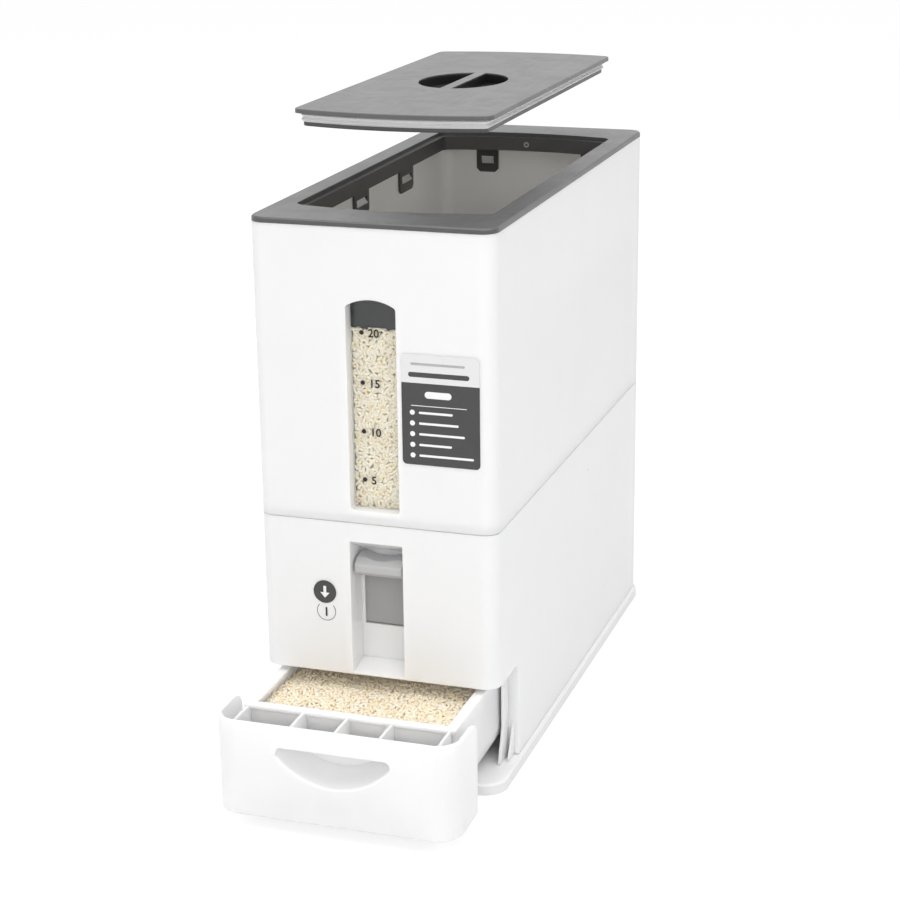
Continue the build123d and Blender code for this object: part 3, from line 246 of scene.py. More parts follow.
def build_grain_tint():
    """A tone for each grain of rice, from chalky to warm, with a clouded middle."""
    tree, given, result = make_group("grain_tint", [
        ("Chalk", COLOUR, (0.95, 0.92, 0.84, 1)), ("Cream", COLOUR, (0.9, 0.82, 0.64, 1)),
        ("Straw", COLOUR, (0.74, 0.6, 0.38, 1))], [("Colour", COLOUR), ("Mask", FLOAT)])
    island = add_node(tree, "ShaderNodeNewGeometry").outputs["Random Per Island"]
    light = add_node(tree, "ShaderNodeMapRange", {"Value": island, "From Min": 0.0, "From Max": 0.5})
    dark = add_node(tree, "ShaderNodeMapRange", {"Value": island, "From Min": 0.72, "From Max": 1.0})
    cloud = object_noise(tree, 0.0016, 2.0, 0.5)
    chalky = add_math(tree, "ADD", light.outputs[0], add_math(tree, "SUBTRACT", cloud, 0.5), True)
    pale = mix_colour(tree, chalky, given.outputs["Chalk"], given.outputs["Cream"])
    amount = add_math(tree, "MULTIPLY", dark.outputs[0], 0.55)
    warm = mix_colour(tree, amount, pale, given.outputs["Straw"])
    tree.links.new(warm, result.inputs["Colour"])
    tree.links.new(chalky, result.inputs["Mask"])
    return tree


MOULDED_SKIN = build_moulded_skin()
TONE_DRIFT = build_tone_drift()
HANDLING = build_handling()
SOFT_EDGES = build_soft_edges()
GRAIN_TINT = build_grain_tint()


# ---------------------------------------------------------------- finishes
def new_material(name):
    """An empty node material: (material, tree, output node)."""
    material = bpy.data.materials.new(name)
    material.use_nodes = True
    tree = material.node_tree
    tree.nodes.clear()
    return material, tree, tree.nodes.new("ShaderNodeOutputMaterial")


def add_surface(tree, output, colour, roughness, normal, **others):
    """The material's shader, its other inputs named by keyword."""
    shader = add_node(tree, "ShaderNodeBsdfPrincipled", {
        "Base Color": colour, "Roughness": roughness, "Normal": normal, **spaced(others)})
    tree.links.new(shader.outputs[0], output.inputs["Surface"])


def grey(level, warm=0.0):
    """A grey, leaning to red where warm is more than 0."""
    return (level * (1 + warm), level, level * (1 - warm), 1.0)


def moulded_plastic(name, tone, other, roughness, spread=0.05, size=1.4, depth=0.004, drift=0.06,
                    edge=0.8, glow=0.0):
    """Moulded plastic: drifting tone, smudged sheen, orange-peel and rounded edges.

    The orange-peel's size and depth and the edges' radius are in millimetres, and drift is in
    metres. glow is the share of light that spreads inside the plastic, as in a thin pale wall.
    """
    material, tree, output = new_material(name)
    drifted = use_group(tree, TONE_DRIFT, Tone=tone, Other_Tone=other, Size=drift)
    rubbed = use_group(tree, HANDLING, Roughness=roughness, Spread=spread)
    skin = use_group(tree, MOULDED_SKIN, Size=size * MM, Depth=depth * MM)
    edges = use_group(tree, SOFT_EDGES, Radius=edge * MM)
    normal = bumped(tree, skin.outputs["Height"], 0.6, edges.outputs["Normal"])
    add_surface(tree, output, drifted.outputs["Colour"], rubbed.outputs["Roughness"], normal,
                Subsurface_Weight=glow, Subsurface_Radius=(1.0, 1.0, 0.97),
                Subsurface_Scale=5 * MM)
    return material


def lid_plastic(name, tone, other, pocket_shade_tone):
    """The lid's plastic: satin on top, with painted shade darkening the inside of the two finger pockets.
    """
    material, tree, output = new_material(name)
    drifted = use_group(tree, TONE_DRIFT, Tone=tone, Other_Tone=other, Size=0.05)
    place = add_node(tree, "ShaderNodeTexCoord").outputs["Object"]
    height = add_node(tree, "ShaderNodeSeparateXYZ", {0: place}).outputs["Z"]
    level = add_node(tree, "ShaderNodeVectorMath", {0: place, 1: (1.0, 1.0, 0.0)},
                     operation="MULTIPLY").outputs[0]
    away = add_node(tree, "ShaderNodeVectorMath", {0: level}, operation="LENGTH").outputs["Value"]
    pocket_reach = 50 * MM
    near = add_math(tree, "LESS_THAN", away, pocket_reach)
    lid_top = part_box("lid_top_plate")[1].z
    sunk = add_node(tree, "ShaderNodeMapRange", {
        "Value": height, "From Min": lid_top - 1.6 * MM, "From Max": lid_top - 0.5 * MM,
        "To Min": 1.0, "To Max": 0.0}, interpolation_type="SMOOTHSTEP")
    # painted shade: within the pocket reach and below the lid's top the colour turns near-black, standing
    # for the pockets' shade
    painted_pocket_shade = add_math(tree, "MULTIPLY", near, sunk.outputs[0])
    colour = mix_colour(tree, painted_pocket_shade, drifted.outputs["Colour"], pocket_shade_tone)
    rubbed = use_group(tree, HANDLING, Roughness=0.36, Spread=0.05)
    skin = use_group(tree, MOULDED_SKIN, Size=0.9 * MM, Depth=0.003 * MM)
    edges = use_group(tree, SOFT_EDGES, Radius=0.5 * MM)
    normal = bumped(tree, skin.outputs["Height"], 0.6, edges.outputs["Normal"])
    add_surface(tree, output, colour, rubbed.outputs["Roughness"], normal)
    return material


def rubber(name, tone, other):
    """Soft matt rubber with a bloom of paler dust and a fine tooth."""
    material, tree, output = new_material(name)
    drifted = use_group(tree, TONE_DRIFT, Tone=tone, Other_Tone=other, Size=0.012)
    rubbed = use_group(tree, HANDLING, Roughness=0.68, Spread=0.06)
    skin = use_group(tree, MOULDED_SKIN, Size=0.7 * MM, Depth=0.02 * MM)
    add_surface(tree, output, drifted.outputs["Colour"], rubbed.outputs["Roughness"],
                bumped(tree, skin.outputs["Height"], 0.7), Specular_IOR_Level=0.35,
                Sheen_Weight=0.15)
    return material


def turned_steel(name):
    """Bright drawn steel with fine marks along its length."""
    material, tree, output = new_material(name)
    drifted = use_group(tree, TONE_DRIFT, Tone=grey(0.6), Other_Tone=grey(0.48, 0.02), Size=0.01)
    marks = object_noise(tree, 0.0006, 2.0, 0.6, 0.0, (0.04, 1.0, 1.0))
    rough = add_math(tree, "ADD", 0.2, add_math(tree, "MULTIPLY", marks, 0.2))
    height = add_math(tree, "MULTIPLY", marks, 0.004 * MM)
    add_surface(tree, output, drifted.outputs["Colour"], rough, bumped(tree, height, 0.5),
                Metallic=1.0)
    return material


def clear_lens(name):
    """Clear polished plastic that lets the light through to what stands behind it."""
    material, tree, output = new_material(name)
    rough = use_group(tree, HANDLING, Roughness=0.06, Spread=0.02)
    glass = add_node(tree, "ShaderNodeBsdfPrincipled", {
        "Base Color": (0.96, 0.97, 0.97, 1), "Roughness": rough.outputs["Roughness"],
        "IOR": 1.49, "Specular IOR Level": 0.3, "Transmission Weight": 1.0})
    through = add_node(tree, "ShaderNodeBsdfTransparent", {"Color": (0.97, 0.98, 0.98, 1)})
    path = add_node(tree, "ShaderNodeLightPath")
    soft = add_math(tree, "MAXIMUM", path.outputs["Is Shadow Ray"], path.outputs["Is Diffuse Ray"])
    mix = add_node(tree, "ShaderNodeMixShader", {0: soft, 1: glass.outputs[0], 2: through.outputs[0]})
    tree.links.new(mix.outputs[0], output.inputs["Surface"])
    return material


def rice_grain(name, chalk, cream, straw):
    """Polished white rice, each grain with its own tone."""
    material, tree, output = new_material(name)
    tint = use_group(tree, GRAIN_TINT, Chalk=chalk, Cream=cream, Straw=straw)
    rough = add_math(tree, "ADD", 0.42, add_math(tree, "MULTIPLY", tint.outputs["Mask"], 0.16))
    skin = use_group(tree, MOULDED_SKIN, Size=0.5 * MM, Depth=0.02 * MM)
    add_surface(tree, output, tint.outputs["Colour"], rough, bumped(tree, skin.outputs["Height"], 0.5),
                Specular_IOR_Level=0.4, Subsurface_Weight=0.3, Subsurface_Radius=(1.0, 0.9, 0.75),
                Subsurface_Scale=1.5 * MM)
    return material


def rice_bed(name, tone, other):
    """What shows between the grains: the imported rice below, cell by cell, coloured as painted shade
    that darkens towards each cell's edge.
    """
    material, tree, output = new_material(name)
    place = add_node(tree, "ShaderNodeTexCoord").outputs["Object"]
    cell = 2.6 * MM
    cells = add_node(tree, "ShaderNodeTexVoronoi", {"Vector": place, "Scale": 1 / cell},
                     feature="F1")
    share = add_node(tree, "ShaderNodeMapRange", {
        "Value": cells.outputs["Distance"], "From Min": 0.15, "From Max": 0.75})
    # painted shade: a darker warm tone towards each cell's edge, where the gaps between grains fall
    colour = mix_colour(tree, share.outputs[0], tone, other)
    height = add_math(tree, "MULTIPLY", cells.outputs["Distance"], -0.9 * MM)
    add_surface(tree, output, colour, 0.6, bumped(tree, height, 0.8))
    return material


def printed_film(name, tone, other, roughness, specular=0.5):
    """Ink and film laid on plastic, and the near-black sheets of painted shade in the window, with a
    slightly uneven lay and sheen.
    """
    material, tree, output = new_material(name)
    drifted = use_group(tree, TONE_DRIFT, Tone=tone, Other_Tone=other, Size=0.008)
    rubbed = use_group(tree, HANDLING, Roughness=roughness, Spread=0.05)
    skin = use_group(tree, MOULDED_SKIN, Size=0.5 * MM, Depth=0.004 * MM)
    add_surface(tree, output, drifted.outputs["Colour"], rubbed.outputs["Roughness"],
                bumped(tree, skin.outputs["Height"], 0.4), Specular_IOR_Level=specular)
    return material


FINISHES = {
    "white_shell": moulded_plastic("white_shell_plastic", grey(0.885), grey(0.875), 0.34, drift=0.09,
                                   glow=0.75),
    "white_base": moulded_plastic("white_base_plastic", grey(0.85), grey(0.835), 0.42, size=1.1),
    "drawer_plastic": moulded_plastic("drawer_plastic", grey(0.89), grey(0.88), 0.32, drift=0.08,
                                      glow=1.0),
    "rim_grey": moulded_plastic("rim_grey_plastic", grey(0.085), grey(0.078), 0.33, spread=0.04,
                                size=0.9, drift=0.03, edge=0.7),
    # the lid's last grey is painted shade for the inside of its finger pockets
    "lid_grey": lid_plastic("lid_grey_plastic", grey(0.105), grey(0.097), grey(0.012)),
    "lid_under_grey": moulded_plastic("lid_under_plastic", grey(0.06), grey(0.055), 0.4, size=0.9),
    "knob_grey": moulded_plastic("knob_grey_plastic", grey(0.47), grey(0.45), 0.32, spread=0.03,
                                 size=0.9, depth=0.003, drift=0.02),
    "slider_grey": moulded_plastic("slider_grey_plastic", grey(0.37), grey(0.35), 0.48, size=0.8),
    "inner_white": moulded_plastic("inner_white_plastic", grey(0.86), grey(0.84, 0.005), 0.45,
                                   glow=0.7),
    "gear_plastic": moulded_plastic("gear_plastic", (0.78, 0.76, 0.7, 1), (0.73, 0.71, 0.65, 1), 0.4,
                                    drift=0.01, edge=0.3),
    "seal_rubber": moulded_plastic("seal_silicone", grey(0.72), grey(0.69), 0.5, spread=0.04,
                                   size=0.8, depth=0.003, drift=0.02, edge=0.4),
    "pad_rubber": rubber("pad_rubber", grey(0.055), grey(0.08)),
    "steel": turned_steel("turned_steel"),
    "lens_clear": clear_lens("clear_lens"),
}
RICE = rice_grain("rice_grains", chalk=(0.96, 0.89, 0.77, 1), cream=(0.95, 0.83, 0.63, 1),
                  straw=(0.84, 0.66, 0.42, 1))
# the rice under the grains, in darker warm tones as painted shade between the grains
RICE_BED_SHADE = rice_bed("rice_gap_painted_shade", (0.93, 0.81, 0.59, 1), (0.78, 0.62, 0.4, 1))
DARK_FILM = printed_film("dark_film", grey(0.05), grey(0.046), 0.42)
# near-black sheet used as painted shade in the window, standing for the shaded empty hopper behind the
# lens
WINDOW_SHADE_FILM = printed_film("window_painted_shade", grey(0.006), grey(0.005), 0.6, specular=0.05)
BLACK_INK = printed_film("black_ink", grey(0.006), grey(0.008), 0.55)
WHITE_INK = printed_film("white_ink", grey(0.86), grey(0.82), 0.5)
PALE_FILM = printed_film("pale_film", grey(0.73), grey(0.72), 0.34)
GREY_INK = printed_film("grey_ink", grey(0.42), grey(0.38), 0.5)


# ---------------------------------------------------------------- mesh helpers
def make_piece(name, mesh, material, body):
    """Puts a mesh in the scene in its finish, riding on a body."""
    piece = bpy.data.objects.new(name, mesh)
    bpy.context.scene.collection.objects.link(piece)
    mesh.materials.append(material)
    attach(piece, body)


def mesh_of(name, vertices, faces, smooth=False):
    """A mesh from its points and faces."""
    mesh = bpy.data.meshes.new(name)
    mesh.from_pydata(vertices, [], faces)
    mesh.update()
    if smooth:
        mesh.shade_smooth()
    return mesh


def rounded_outline(x, z, radii, steps=6):
    """Corner points of a rectangle, from the lower left round; radii run the same way."""
    corners = ((x[0], z[0], 1, 1, 180), (x[1], z[0], -1, 1, 270),
               (x[1], z[1], -1, -1, 0), (x[0], z[1], 1, -1, 90))
    points = []
    for (cx, cz, sx, sz, start), radius in zip(corners, radii):
        if radius <= 0:
            points.append((cx, cz))
            continue
        for step in range(steps + 1):
            angle = math.radians(start + 90 * step / steps)
            points.append((cx + sx * radius + radius * math.cos(angle),
                           cz + sz * radius + radius * math.sin(angle)))
    return points


def disc_outline(centre, radius, steps):
    """Points round a circle."""
    return [(centre[0] + radius * math.cos(2 * math.pi * step / steps),
             centre[1] + radius * math.sin(2 * math.pi * step / steps)) for step in range(steps)]


def front_film(name, outlines, y, thickness):
    """Flat shapes on a face that looks to the front: (x, z) outlines raised from y towards -Y."""
    vertices, faces = [], []
    for outline in outlines:
        first, count = len(vertices), len(outline)
        vertices += [(x, y, z) for x, z in outline]
        vertices += [(x, y - thickness, z) for x, z in outline]
        faces.append([first + count + k for k in range(count)])
        faces.append([first + k for k in reversed(range(count))])
        for k in range(count):
            following = (k + 1) % count
            faces.append([first + k, first + following, first + count + following, first + count + k])
    return mesh_of(name, vertices, faces)


def front_ring(name, centre, outer, inner, y, thickness, steps, span=(0.0, 360.0)):
    """A flat ring, or the part of one between two angles in degrees, raised from y towards -Y."""
    closed = span[1] - span[0] >= 360.0
    count = steps if closed else steps + 1
    vertices = []
    for step in range(count):
        angle = math.radians(span[0] + (span[1] - span[0]) * step / steps)
        for radius, depth in ((inner, 0), (outer, 0), (outer, thickness), (inner, thickness)):
            vertices.append((centre[0] + radius * math.cos(angle), y - depth,
                             centre[1] + radius * math.sin(angle)))
    faces = []
    for step in range(steps):
        a, b = 4 * step, 4 * ((step + 1) % count)
        for k in range(4):
            m = (k + 1) % 4
            faces.append([a + k, a + m, b + m, b + k])
    if not closed:
        last = 4 * steps
        faces += [[3, 2, 1, 0], [last, last + 1, last + 2, last + 3]]
    return consistent(mesh_of(name, vertices, faces))


def consistent(mesh):
    """The mesh with its faces all turned outwards."""
    shape = bmesh.new()
    shape.from_mesh(mesh)
    bmesh.ops.recalc_face_normals(shape, faces=shape.faces)
    shape.to_mesh(mesh)
    shape.free()
    return mesh


def number_mesh(name, text, height, weight, centre_x=False):
    """Plain digits as a thin solid in the XZ plane, their foot at z = 0, facing -Y."""
    curve = bpy.data.curves.new(name, "FONT")
    curve.body = text
    curve.size = height / DIGIT_SHARE
    curve.offset = weight
    curve.extrude = PRINT_THICKNESS / 2
    curve.align_x = "CENTER" if centre_x else "LEFT"
    holder = bpy.data.objects.new(name, curve)
    bpy.context.scene.collection.objects.link(holder)
    bpy.context.view_layer.update()
    mesh = bpy.data.meshes.new_from_object(holder.evaluated_get(
        bpy.context.evaluated_depsgraph_get()))
    bpy.data.objects.remove(holder)
    bpy.data.curves.remove(curve)
    mesh.materials.clear()
    mesh.transform(Matrix.Rotation(math.radians(90), 4, "X"))
    return mesh


def joined(name, meshes):
    """One mesh from several."""
    shape = bmesh.new()
    for mesh in meshes:
        shape.from_mesh(mesh)
    result = bpy.data.meshes.new(name)
    shape.to_mesh(result)
    shape.free()
    return result


def tube_mesh(name, path, radius, sides):
    """A tube along a list of points, closed at its ends, its rings turned steadily."""
    vertices, faces = [], []
    side = Vector((0, 0, 1))
    for index, point in enumerate(path):
        ahead = path[min(index + 1, len(path) - 1)] - path[max(index - 1, 0)]
        ahead.normalize()
        side = side - ahead * side.dot(ahead)
        if side.length < 1e-6:
            side = ahead.orthogonal()
        side.normalize()
        other = ahead.cross(side)
        for k in range(sides):
            angle = 2 * math.pi * k / sides
            vertices.append(point + (side * math.cos(angle) + other * math.sin(angle)) * radius)
    for index in range(len(path) - 1):
        for k in range(sides):
            m = (k + 1) % sides
            faces.append([index * sides + k, index * sides + m,
                          (index + 1) * sides + m, (index + 1) * sides + k])
    faces.append(list(reversed(range(sides))))
    faces.append([(len(path) - 1) * sides + k for k in range(sides)])
    return mesh_of(name, vertices, faces, True)


# ---------------------------------------------------------------- rice
def grain_shape(rings, sides):
    """One grain along X, a unit long and a unit thick: fuller at one end, with blunt tips."""
    vertices = [(-0.5, 0.0, 0.0)]
    for ring in range(1, rings):
        along = -1 + 2 * ring / rings
        radius = 0.5 * (1 - abs(along) ** 2.4) ** 0.5 * (1 - 0.1 * along)
        sag = 0.04 * (1 - along ** 2)
        for side in range(sides):
            angle = 2 * math.pi * side / sides
            vertices.append((along / 2, radius * math.cos(angle), radius * math.sin(angle) + sag))
    last = len(vertices)
    vertices.append((0.5, 0.0, 0.0))
    faces = [(0, 1 + (side + 1) % sides, 1 + side) for side in range(sides)]
    for ring in range(rings - 2):
        for side in range(sides):
            a, b = 1 + ring * sides, 1 + (ring + 1) * sides
            m = (side + 1) % sides
            faces.append((a + side, a + m, b + m, b + side))
    base = 1 + (rings - 2) * sides
    faces += [(last, base + side, base + (side + 1) % sides) for side in range(sides)]
    return [Vector(v) for v in vertices], faces


def pile_of_grains(name, places, rings, sides):
    """All the grains of a heap as one mesh; places gives each grain's turn and middle."""
    points, grain_faces = grain_shape(rings, sides)
    vertices, faces = [], []
    for matrix in places:
        first = len(vertices)
        vertices += [matrix @ point for point in points]
        faces += [tuple(first + k for k in face) for face in grain_faces]
    return mesh_of(name, vertices, faces, True)


def lying_grain(draw, centre, up, tilt):
    """A grain at a place, lying across the direction up and tilted a little out of it."""
    size = Matrix.Diagonal((GRAIN_LENGTH * draw.uniform(0.82, 1.12),
                            GRAIN_WIDTH * draw.uniform(0.88, 1.1),
                            GRAIN_WIDTH * draw.uniform(0.84, 1.04), 1))
    flat = Matrix.Rotation(draw.uniform(0, 2 * math.pi), 4, "Z")
    lean = Matrix.Rotation(draw.gauss(0, tilt), 4, "Y")
    roll = Matrix.Rotation(draw.uniform(0, 2 * math.pi), 4, "X")
    face = up.to_track_quat("Z", "Y").to_matrix().to_4x4()
    return Matrix.Translation(centre) @ face @ flat @ lean @ roll @ size


def swell(x, y, seed):
    """The gentle rise and fall of a levelled heap, from -1 to 1: a broad wave and a closer one."""
    return (math.sin(x * 41 + seed) * math.cos(y * 33 + 1.7 * seed)
            + 0.5 * math.sin(x * 97 + y * 71 + 2.3 * seed)) / 1.5


def level_heap(name, seed, x, y, level, rise, spacing, drop, rings, sides):
    """One layer of grains over a level heap between two x and two y values, drop below its top."""
    draw = random.Random(name)
    places = []
    columns = int((x[1] - x[0]) / spacing)
    rows = int((y[1] - y[0]) / spacing)
    for column in range(columns):
        for row in range(rows):
            gx = x[0] + (column + draw.uniform(0.1, 0.9)) * (x[1] - x[0]) / columns
            gy = y[0] + (row + draw.uniform(0.1, 0.9)) * (y[1] - y[0]) / rows
            gz = level + rise * swell(gx, gy, seed) - drop + draw.uniform(-0.4, 0.4) * MM
            places.append(lying_grain(draw, Vector((gx, gy, gz)), Vector((0, 0, 1)), 0.28))
    return pile_of_grains(name, places, rings, sides)


def bed_block(name, x, y, z_low, level, rise, seed, cells=(24, 36)):
    """The body of the heap under its grains: a block with a gently rolling top."""
    vertices, faces = [], []
    columns, rows = cells
    for row in range(rows + 1):
        for column in range(columns + 1):
            gx = x[0] + (x[1] - x[0]) * column / columns
            gy = y[0] + (y[1] - y[0]) * row / rows
            vertices.append((gx, gy, level + rise * swell(gx, gy, seed)))
    top = len(vertices)
    vertices += [(px, py, z_low(py)) for px, py, _ in vertices[:top]]
    width = columns + 1
    for row in range(rows):
        for column in range(columns):
            a = row * width + column
            faces.append((a, a + 1, a + width + 1, a + width))
            faces.append((top + a, top + a + width, top + a + width + 1, top + a + 1))
    border = [(k, k + 1) for k in range(columns)]
    border += [(k * width + columns, (k + 1) * width + columns) for k in range(rows)]
    border += [(rows * width + k + 1, rows * width + k) for k in reversed(range(columns))]
    border += [((k + 1) * width, k * width) for k in reversed(range(rows))]
    faces += [(a, top + a, top + b, b) for a, b in border]
    return consistent(mesh_of(name, vertices, faces))


def rice_in_window(lens_back, low, half_width):
    """Grains pressed against the lens, in two layers, up to an uneven top line."""
    draw = random.Random(31)
    places = []
    for spacing, depth in ((2.5 * MM, 1.2 * MM), (2.9 * MM, 2.6 * MM)):
        columns = int(2 * half_width / spacing)
        rows = int((RICE_LEVEL + 3 * MM - low) / spacing)
        for column in range(columns):
            for row in range(rows):
                gx = -half_width + (column + draw.uniform(0.1, 0.9)) * 2 * half_width / columns
                gz = low + (row + draw.uniform(0.1, 0.9)) * spacing
                crest = RICE_LEVEL + (0.9 * math.sin(gx / MM * 0.33 + 0.5)
                                      + draw.uniform(-0.9, 0.9)) * MM
                if gz < crest:
                    gy = lens_back + depth + draw.uniform(-0.12, 0.3) * MM
                    places.append(lying_grain(draw, Vector((gx, gy, gz)), Vector((0, -1, 0)), 0.1))
    return pile_of_grains("rice_at_window", places, 6, 8)


# ---------------------------------------------------------------- fasteners and springs
def screw_head(name, place, radius, height):
    """A pan head that looks down, with a cross recess, its seat at the given place."""
    shape = bmesh.new()
    steps = 28
    profile = ((1.0, 0.0), (1.0, 0.35), (0.9, 0.7), (0.72, 0.92), (0.56, 1.0))
    loops = []
    for share, rise in profile:
        loops.append([shape.verts.new((radius * share * math.cos(2 * math.pi * k / steps),
                                       radius * share * math.sin(2 * math.pi * k / steps),
                                       height * rise)) for k in range(steps)])
    for lower, upper in zip(loops, loops[1:]):
        for k in range(steps):
            m = (k + 1) % steps
            shape.faces.new((lower[k], lower[m], upper[m], upper[k]))
    shape.faces.new(list(reversed(loops[0])))
    arm, half = 0.46 * radius, 0.1 * radius
    cross = [(arm, -half), (arm, half), (half, half), (half, arm), (-half, arm), (-half, half),
             (-arm, half), (-arm, -half), (-half, -half), (-half, -arm), (half, -arm), (half, -half)]
    corners = len(cross)
    rim = [shape.verts.new((x, y, height)) for x, y in cross]
    foot = [shape.verts.new((x * 0.7, y * 0.7, height * 0.35)) for x, y in cross]
    edges = [shape.edges.get((loops[-1][k], loops[-1][(k + 1) % steps])) for k in range(steps)]
    edges += [shape.edges.new((rim[k], rim[(k + 1) % corners])) for k in range(corners)]
    bmesh.ops.triangle_fill(shape, edges=edges, use_beauty=True)
    for k in range(corners):
        m = (k + 1) % corners
        shape.faces.new((rim[k], rim[m], foot[m], foot[k]))
    shape.faces.new(foot)
    bmesh.ops.recalc_face_normals(shape, faces=shape.faces)
    mesh = bpy.data.meshes.new(name)
    shape.to_mesh(mesh)
    shape.free()
    mesh.transform(Matrix.Translation(place) @ Matrix.Rotation(math.pi, 4, "X"))
    return mesh


def coil_springs(low, high):
    """Both extension springs of the lever, each one unbroken wire with hooked ends."""
    turns, per_turn = 15, 14
    wire = 0.28 * MM
    radius = (high.y - low.y) / 2 - wire
    foot, head = low.z + 3 * MM, high.z - 3 * MM
    hook_x, hook_rise = 0.5 * radius, 1.2 * MM
    coils = []
    for side in (-1, 1):
        middle = Vector((side * (high.x - radius - wire), (low.y + high.y) / 2, 0))
        path = []
        for step in range(turns * per_turn + 1):
            angle = 2 * math.pi * step / per_turn
            z = foot + (head - foot) * step / (turns * per_turn)
            path.append(middle + Vector((radius * math.cos(angle), radius * math.sin(angle), z)))
        start = [middle + Vector((0, 0, low.z)), middle + Vector((hook_x, 0, low.z + hook_rise))]
        end = [middle + Vector((hook_x, 0, high.z - hook_rise)), middle + Vector((0, 0, high.z))]
        coils.append(tube_mesh("coil", start + path + end, wire, 6))
    return joined("return_coils", coils)


# ---------------------------------------------------------------- the part
NODE_FINISH = {
    "base_plate": "white_base", "lower_housing": "white_shell", "upper_housing": "white_shell",
    "window_lens": "lens_clear", "window_frame": "inner_white", "rim_frame": "rim_grey",
    "hopper_floor": "inner_white", "meter_trough": "inner_white", "meter_cover": "inner_white",
    "idler_pin": "steel", "gear_bracket": "inner_white", "lever_guide": "inner_white",
    "lever_knob": "knob_grey", "lever_slider": "slider_grey", "return_springs": "steel",
    "drum_left": "gear_plastic", "drum_right": "gear_plastic", "drum_axle": "steel",
    "drum_pinion": "gear_plastic", "idler_gear": "gear_plastic",
    "drawer_front": "drawer_plastic", "drawer_bin": "drawer_plastic",
    "lid_top_plate": "lid_grey", "lid_seal": "seal_rubber", "lid_bottom_plate": "lid_under_grey",
    "pad_front_left": "pad_rubber", "pad_front_right": "pad_rubber",
    "pad_back_left": "pad_rubber", "pad_back_right": "pad_rubber",
}
for node, finish in NODE_FINISH.items():
    NODES[node].data.materials.clear()
    NODES[node].data.materials.append(FINISHES[finish])

housing_low, housing_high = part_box("upper_housing")
lens_low, lens_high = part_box("window_lens")
bin_low, bin_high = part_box("drawer_bin")
FRONT = housing_low.y
LENS_FACE = lens_low.y
LENS_BACK = lens_high.y
LENS_LIP = 3 * MM
WINDOW_HALF = lens_high.x - LENS_LIP
WINDOW_LOW = lens_low.z + LENS_LIP
WINDOW_HIGH = lens_high.z - LENS_LIP


def lay_film(name, outlines, y, thickness, material):
    """A printed or laid shape on the housing, raised from y towards -Y."""
    make_piece(name, front_film(name, outlines, y, thickness), material, "housing")


def window_scale():
    """Dots and plain numbers up the lens."""
    marks = []
    for number, z in SCALE_MARKS:
        marks.append(front_film("dot", [disc_outline((SCALE_DOT_X, z), SCALE_DOT_RADIUS, 28)],
                                LENS_FACE, PRINT_THICKNESS))
        digits = number_mesh("digits", str(number), SCALE_NUMBER_HEIGHT, SCALE_NUMBER_WEIGHT)
        digits.transform(Matrix.Translation((SCALE_NUMBER_X, LENS_FACE - PRINT_THICKNESS / 2,
                                             z - SCALE_NUMBER_HEIGHT / 2)))
        marks.append(digits)
    make_piece("window_scale", joined("window_scale", marks), BLACK_INK, "housing")


def window_head():
    """Painted shade in the window: a near-black sheet behind the top of the lens for the shaded empty
    hopper seen through it, and one behind the topmost grains for the shade among them.
    """
    margin, crown, steps = 1.5 * MM, 5.5 * MM, 24
    half, top, foot = WINDOW_HALF + margin, WINDOW_HIGH + margin, RICE_LEVEL + 1.4 * MM
    points = [(-half, foot), (half, foot)]
    for step in range(steps + 1):
        share = 1 - 2 * step / steps
        points.append((half * share, top - crown * share ** 2))
    # painted shade: a near-black sheet just behind the lens's top, above the rice
    shade_sheet_back, shade_sheet_thickness = LENS_BACK + 0.12 * MM, 0.1 * MM
    lay_film("window_painted_shade", [points], shade_sheet_back, shade_sheet_thickness, WINDOW_SHADE_FILM)
    low, high = RICE_LEVEL - 4 * MM, RICE_LEVEL + 6 * MM
    behind = [(-half, low), (half, low), (half, high), (-half, high)]
    # painted shade: a near-black sheet a little behind the topmost grains
    space_back, space_thickness = LENS_BACK + 3.6 * MM, 0.2 * MM
    lay_film("window_space_shade", [behind], space_back, space_thickness, WINDOW_SHADE_FILM)


def label_bar(sides, low, high, corner, steps=6):
    """The outline of a round-cornered bar, its sizes in millimetres."""
    return rounded_outline((sides[0] * MM, sides[1] * MM), (low * MM, high * MM),
                           [corner * MM] * 4, steps)


def front_label():
    """The label beside the window: a pale head, a dark panel and plain bars."""
    sides = [side * MM for side in LABEL_SIDES]
    low, middle, top = (height * MM for height in (LABEL_FOOT, LABEL_MIDDLE, LABEL_TOP))
    soft = LABEL_CORNER * MM
    panel = rounded_outline(sides, (low, middle), (soft, soft, 0, 0))
    head = rounded_outline(sides, (middle, top), (0, 0, soft, soft))
    lay_film("label_panel", [panel], FRONT, DECAL_THICKNESS, DARK_FILM)
    lay_film("label_head", [head], FRONT, DECAL_THICKNESS, PALE_FILM)
    badge = label_bar((40, 60), 305.6, 310.6, 2.4)
    rule = label_bar((29.6, 71.3), 299.5, 300.0, 0.2, 2)
    rows = [badge, rule]
    for index, length in enumerate(LIST_LENGTHS):
        z = LIST_TOP - LIST_STEP * index
        rows.append(label_bar((LIST_LEFT, LIST_LEFT + length), z - 0.85, z + 0.85, 0.8, 3))
        rows.append(disc_outline((LIST_DOT_X * MM, z * MM), 1.9 * MM, 24))
    line = label_bar((29.6, 70.2), 329.6, 331.4, 0.85, 3)
    title = label_bar((27.8, 73.4), 320.8, 324.4, 1.6, 4)
    face = FRONT - DECAL_THICKNESS
    lay_film("label_bars", rows, face, PRINT_THICKNESS, WHITE_INK)
    lay_film("label_line", [line], face, PRINT_THICKNESS, GREY_INK)
    lay_film("label_title", [title], face, PRINT_THICKNESS, DARK_FILM)


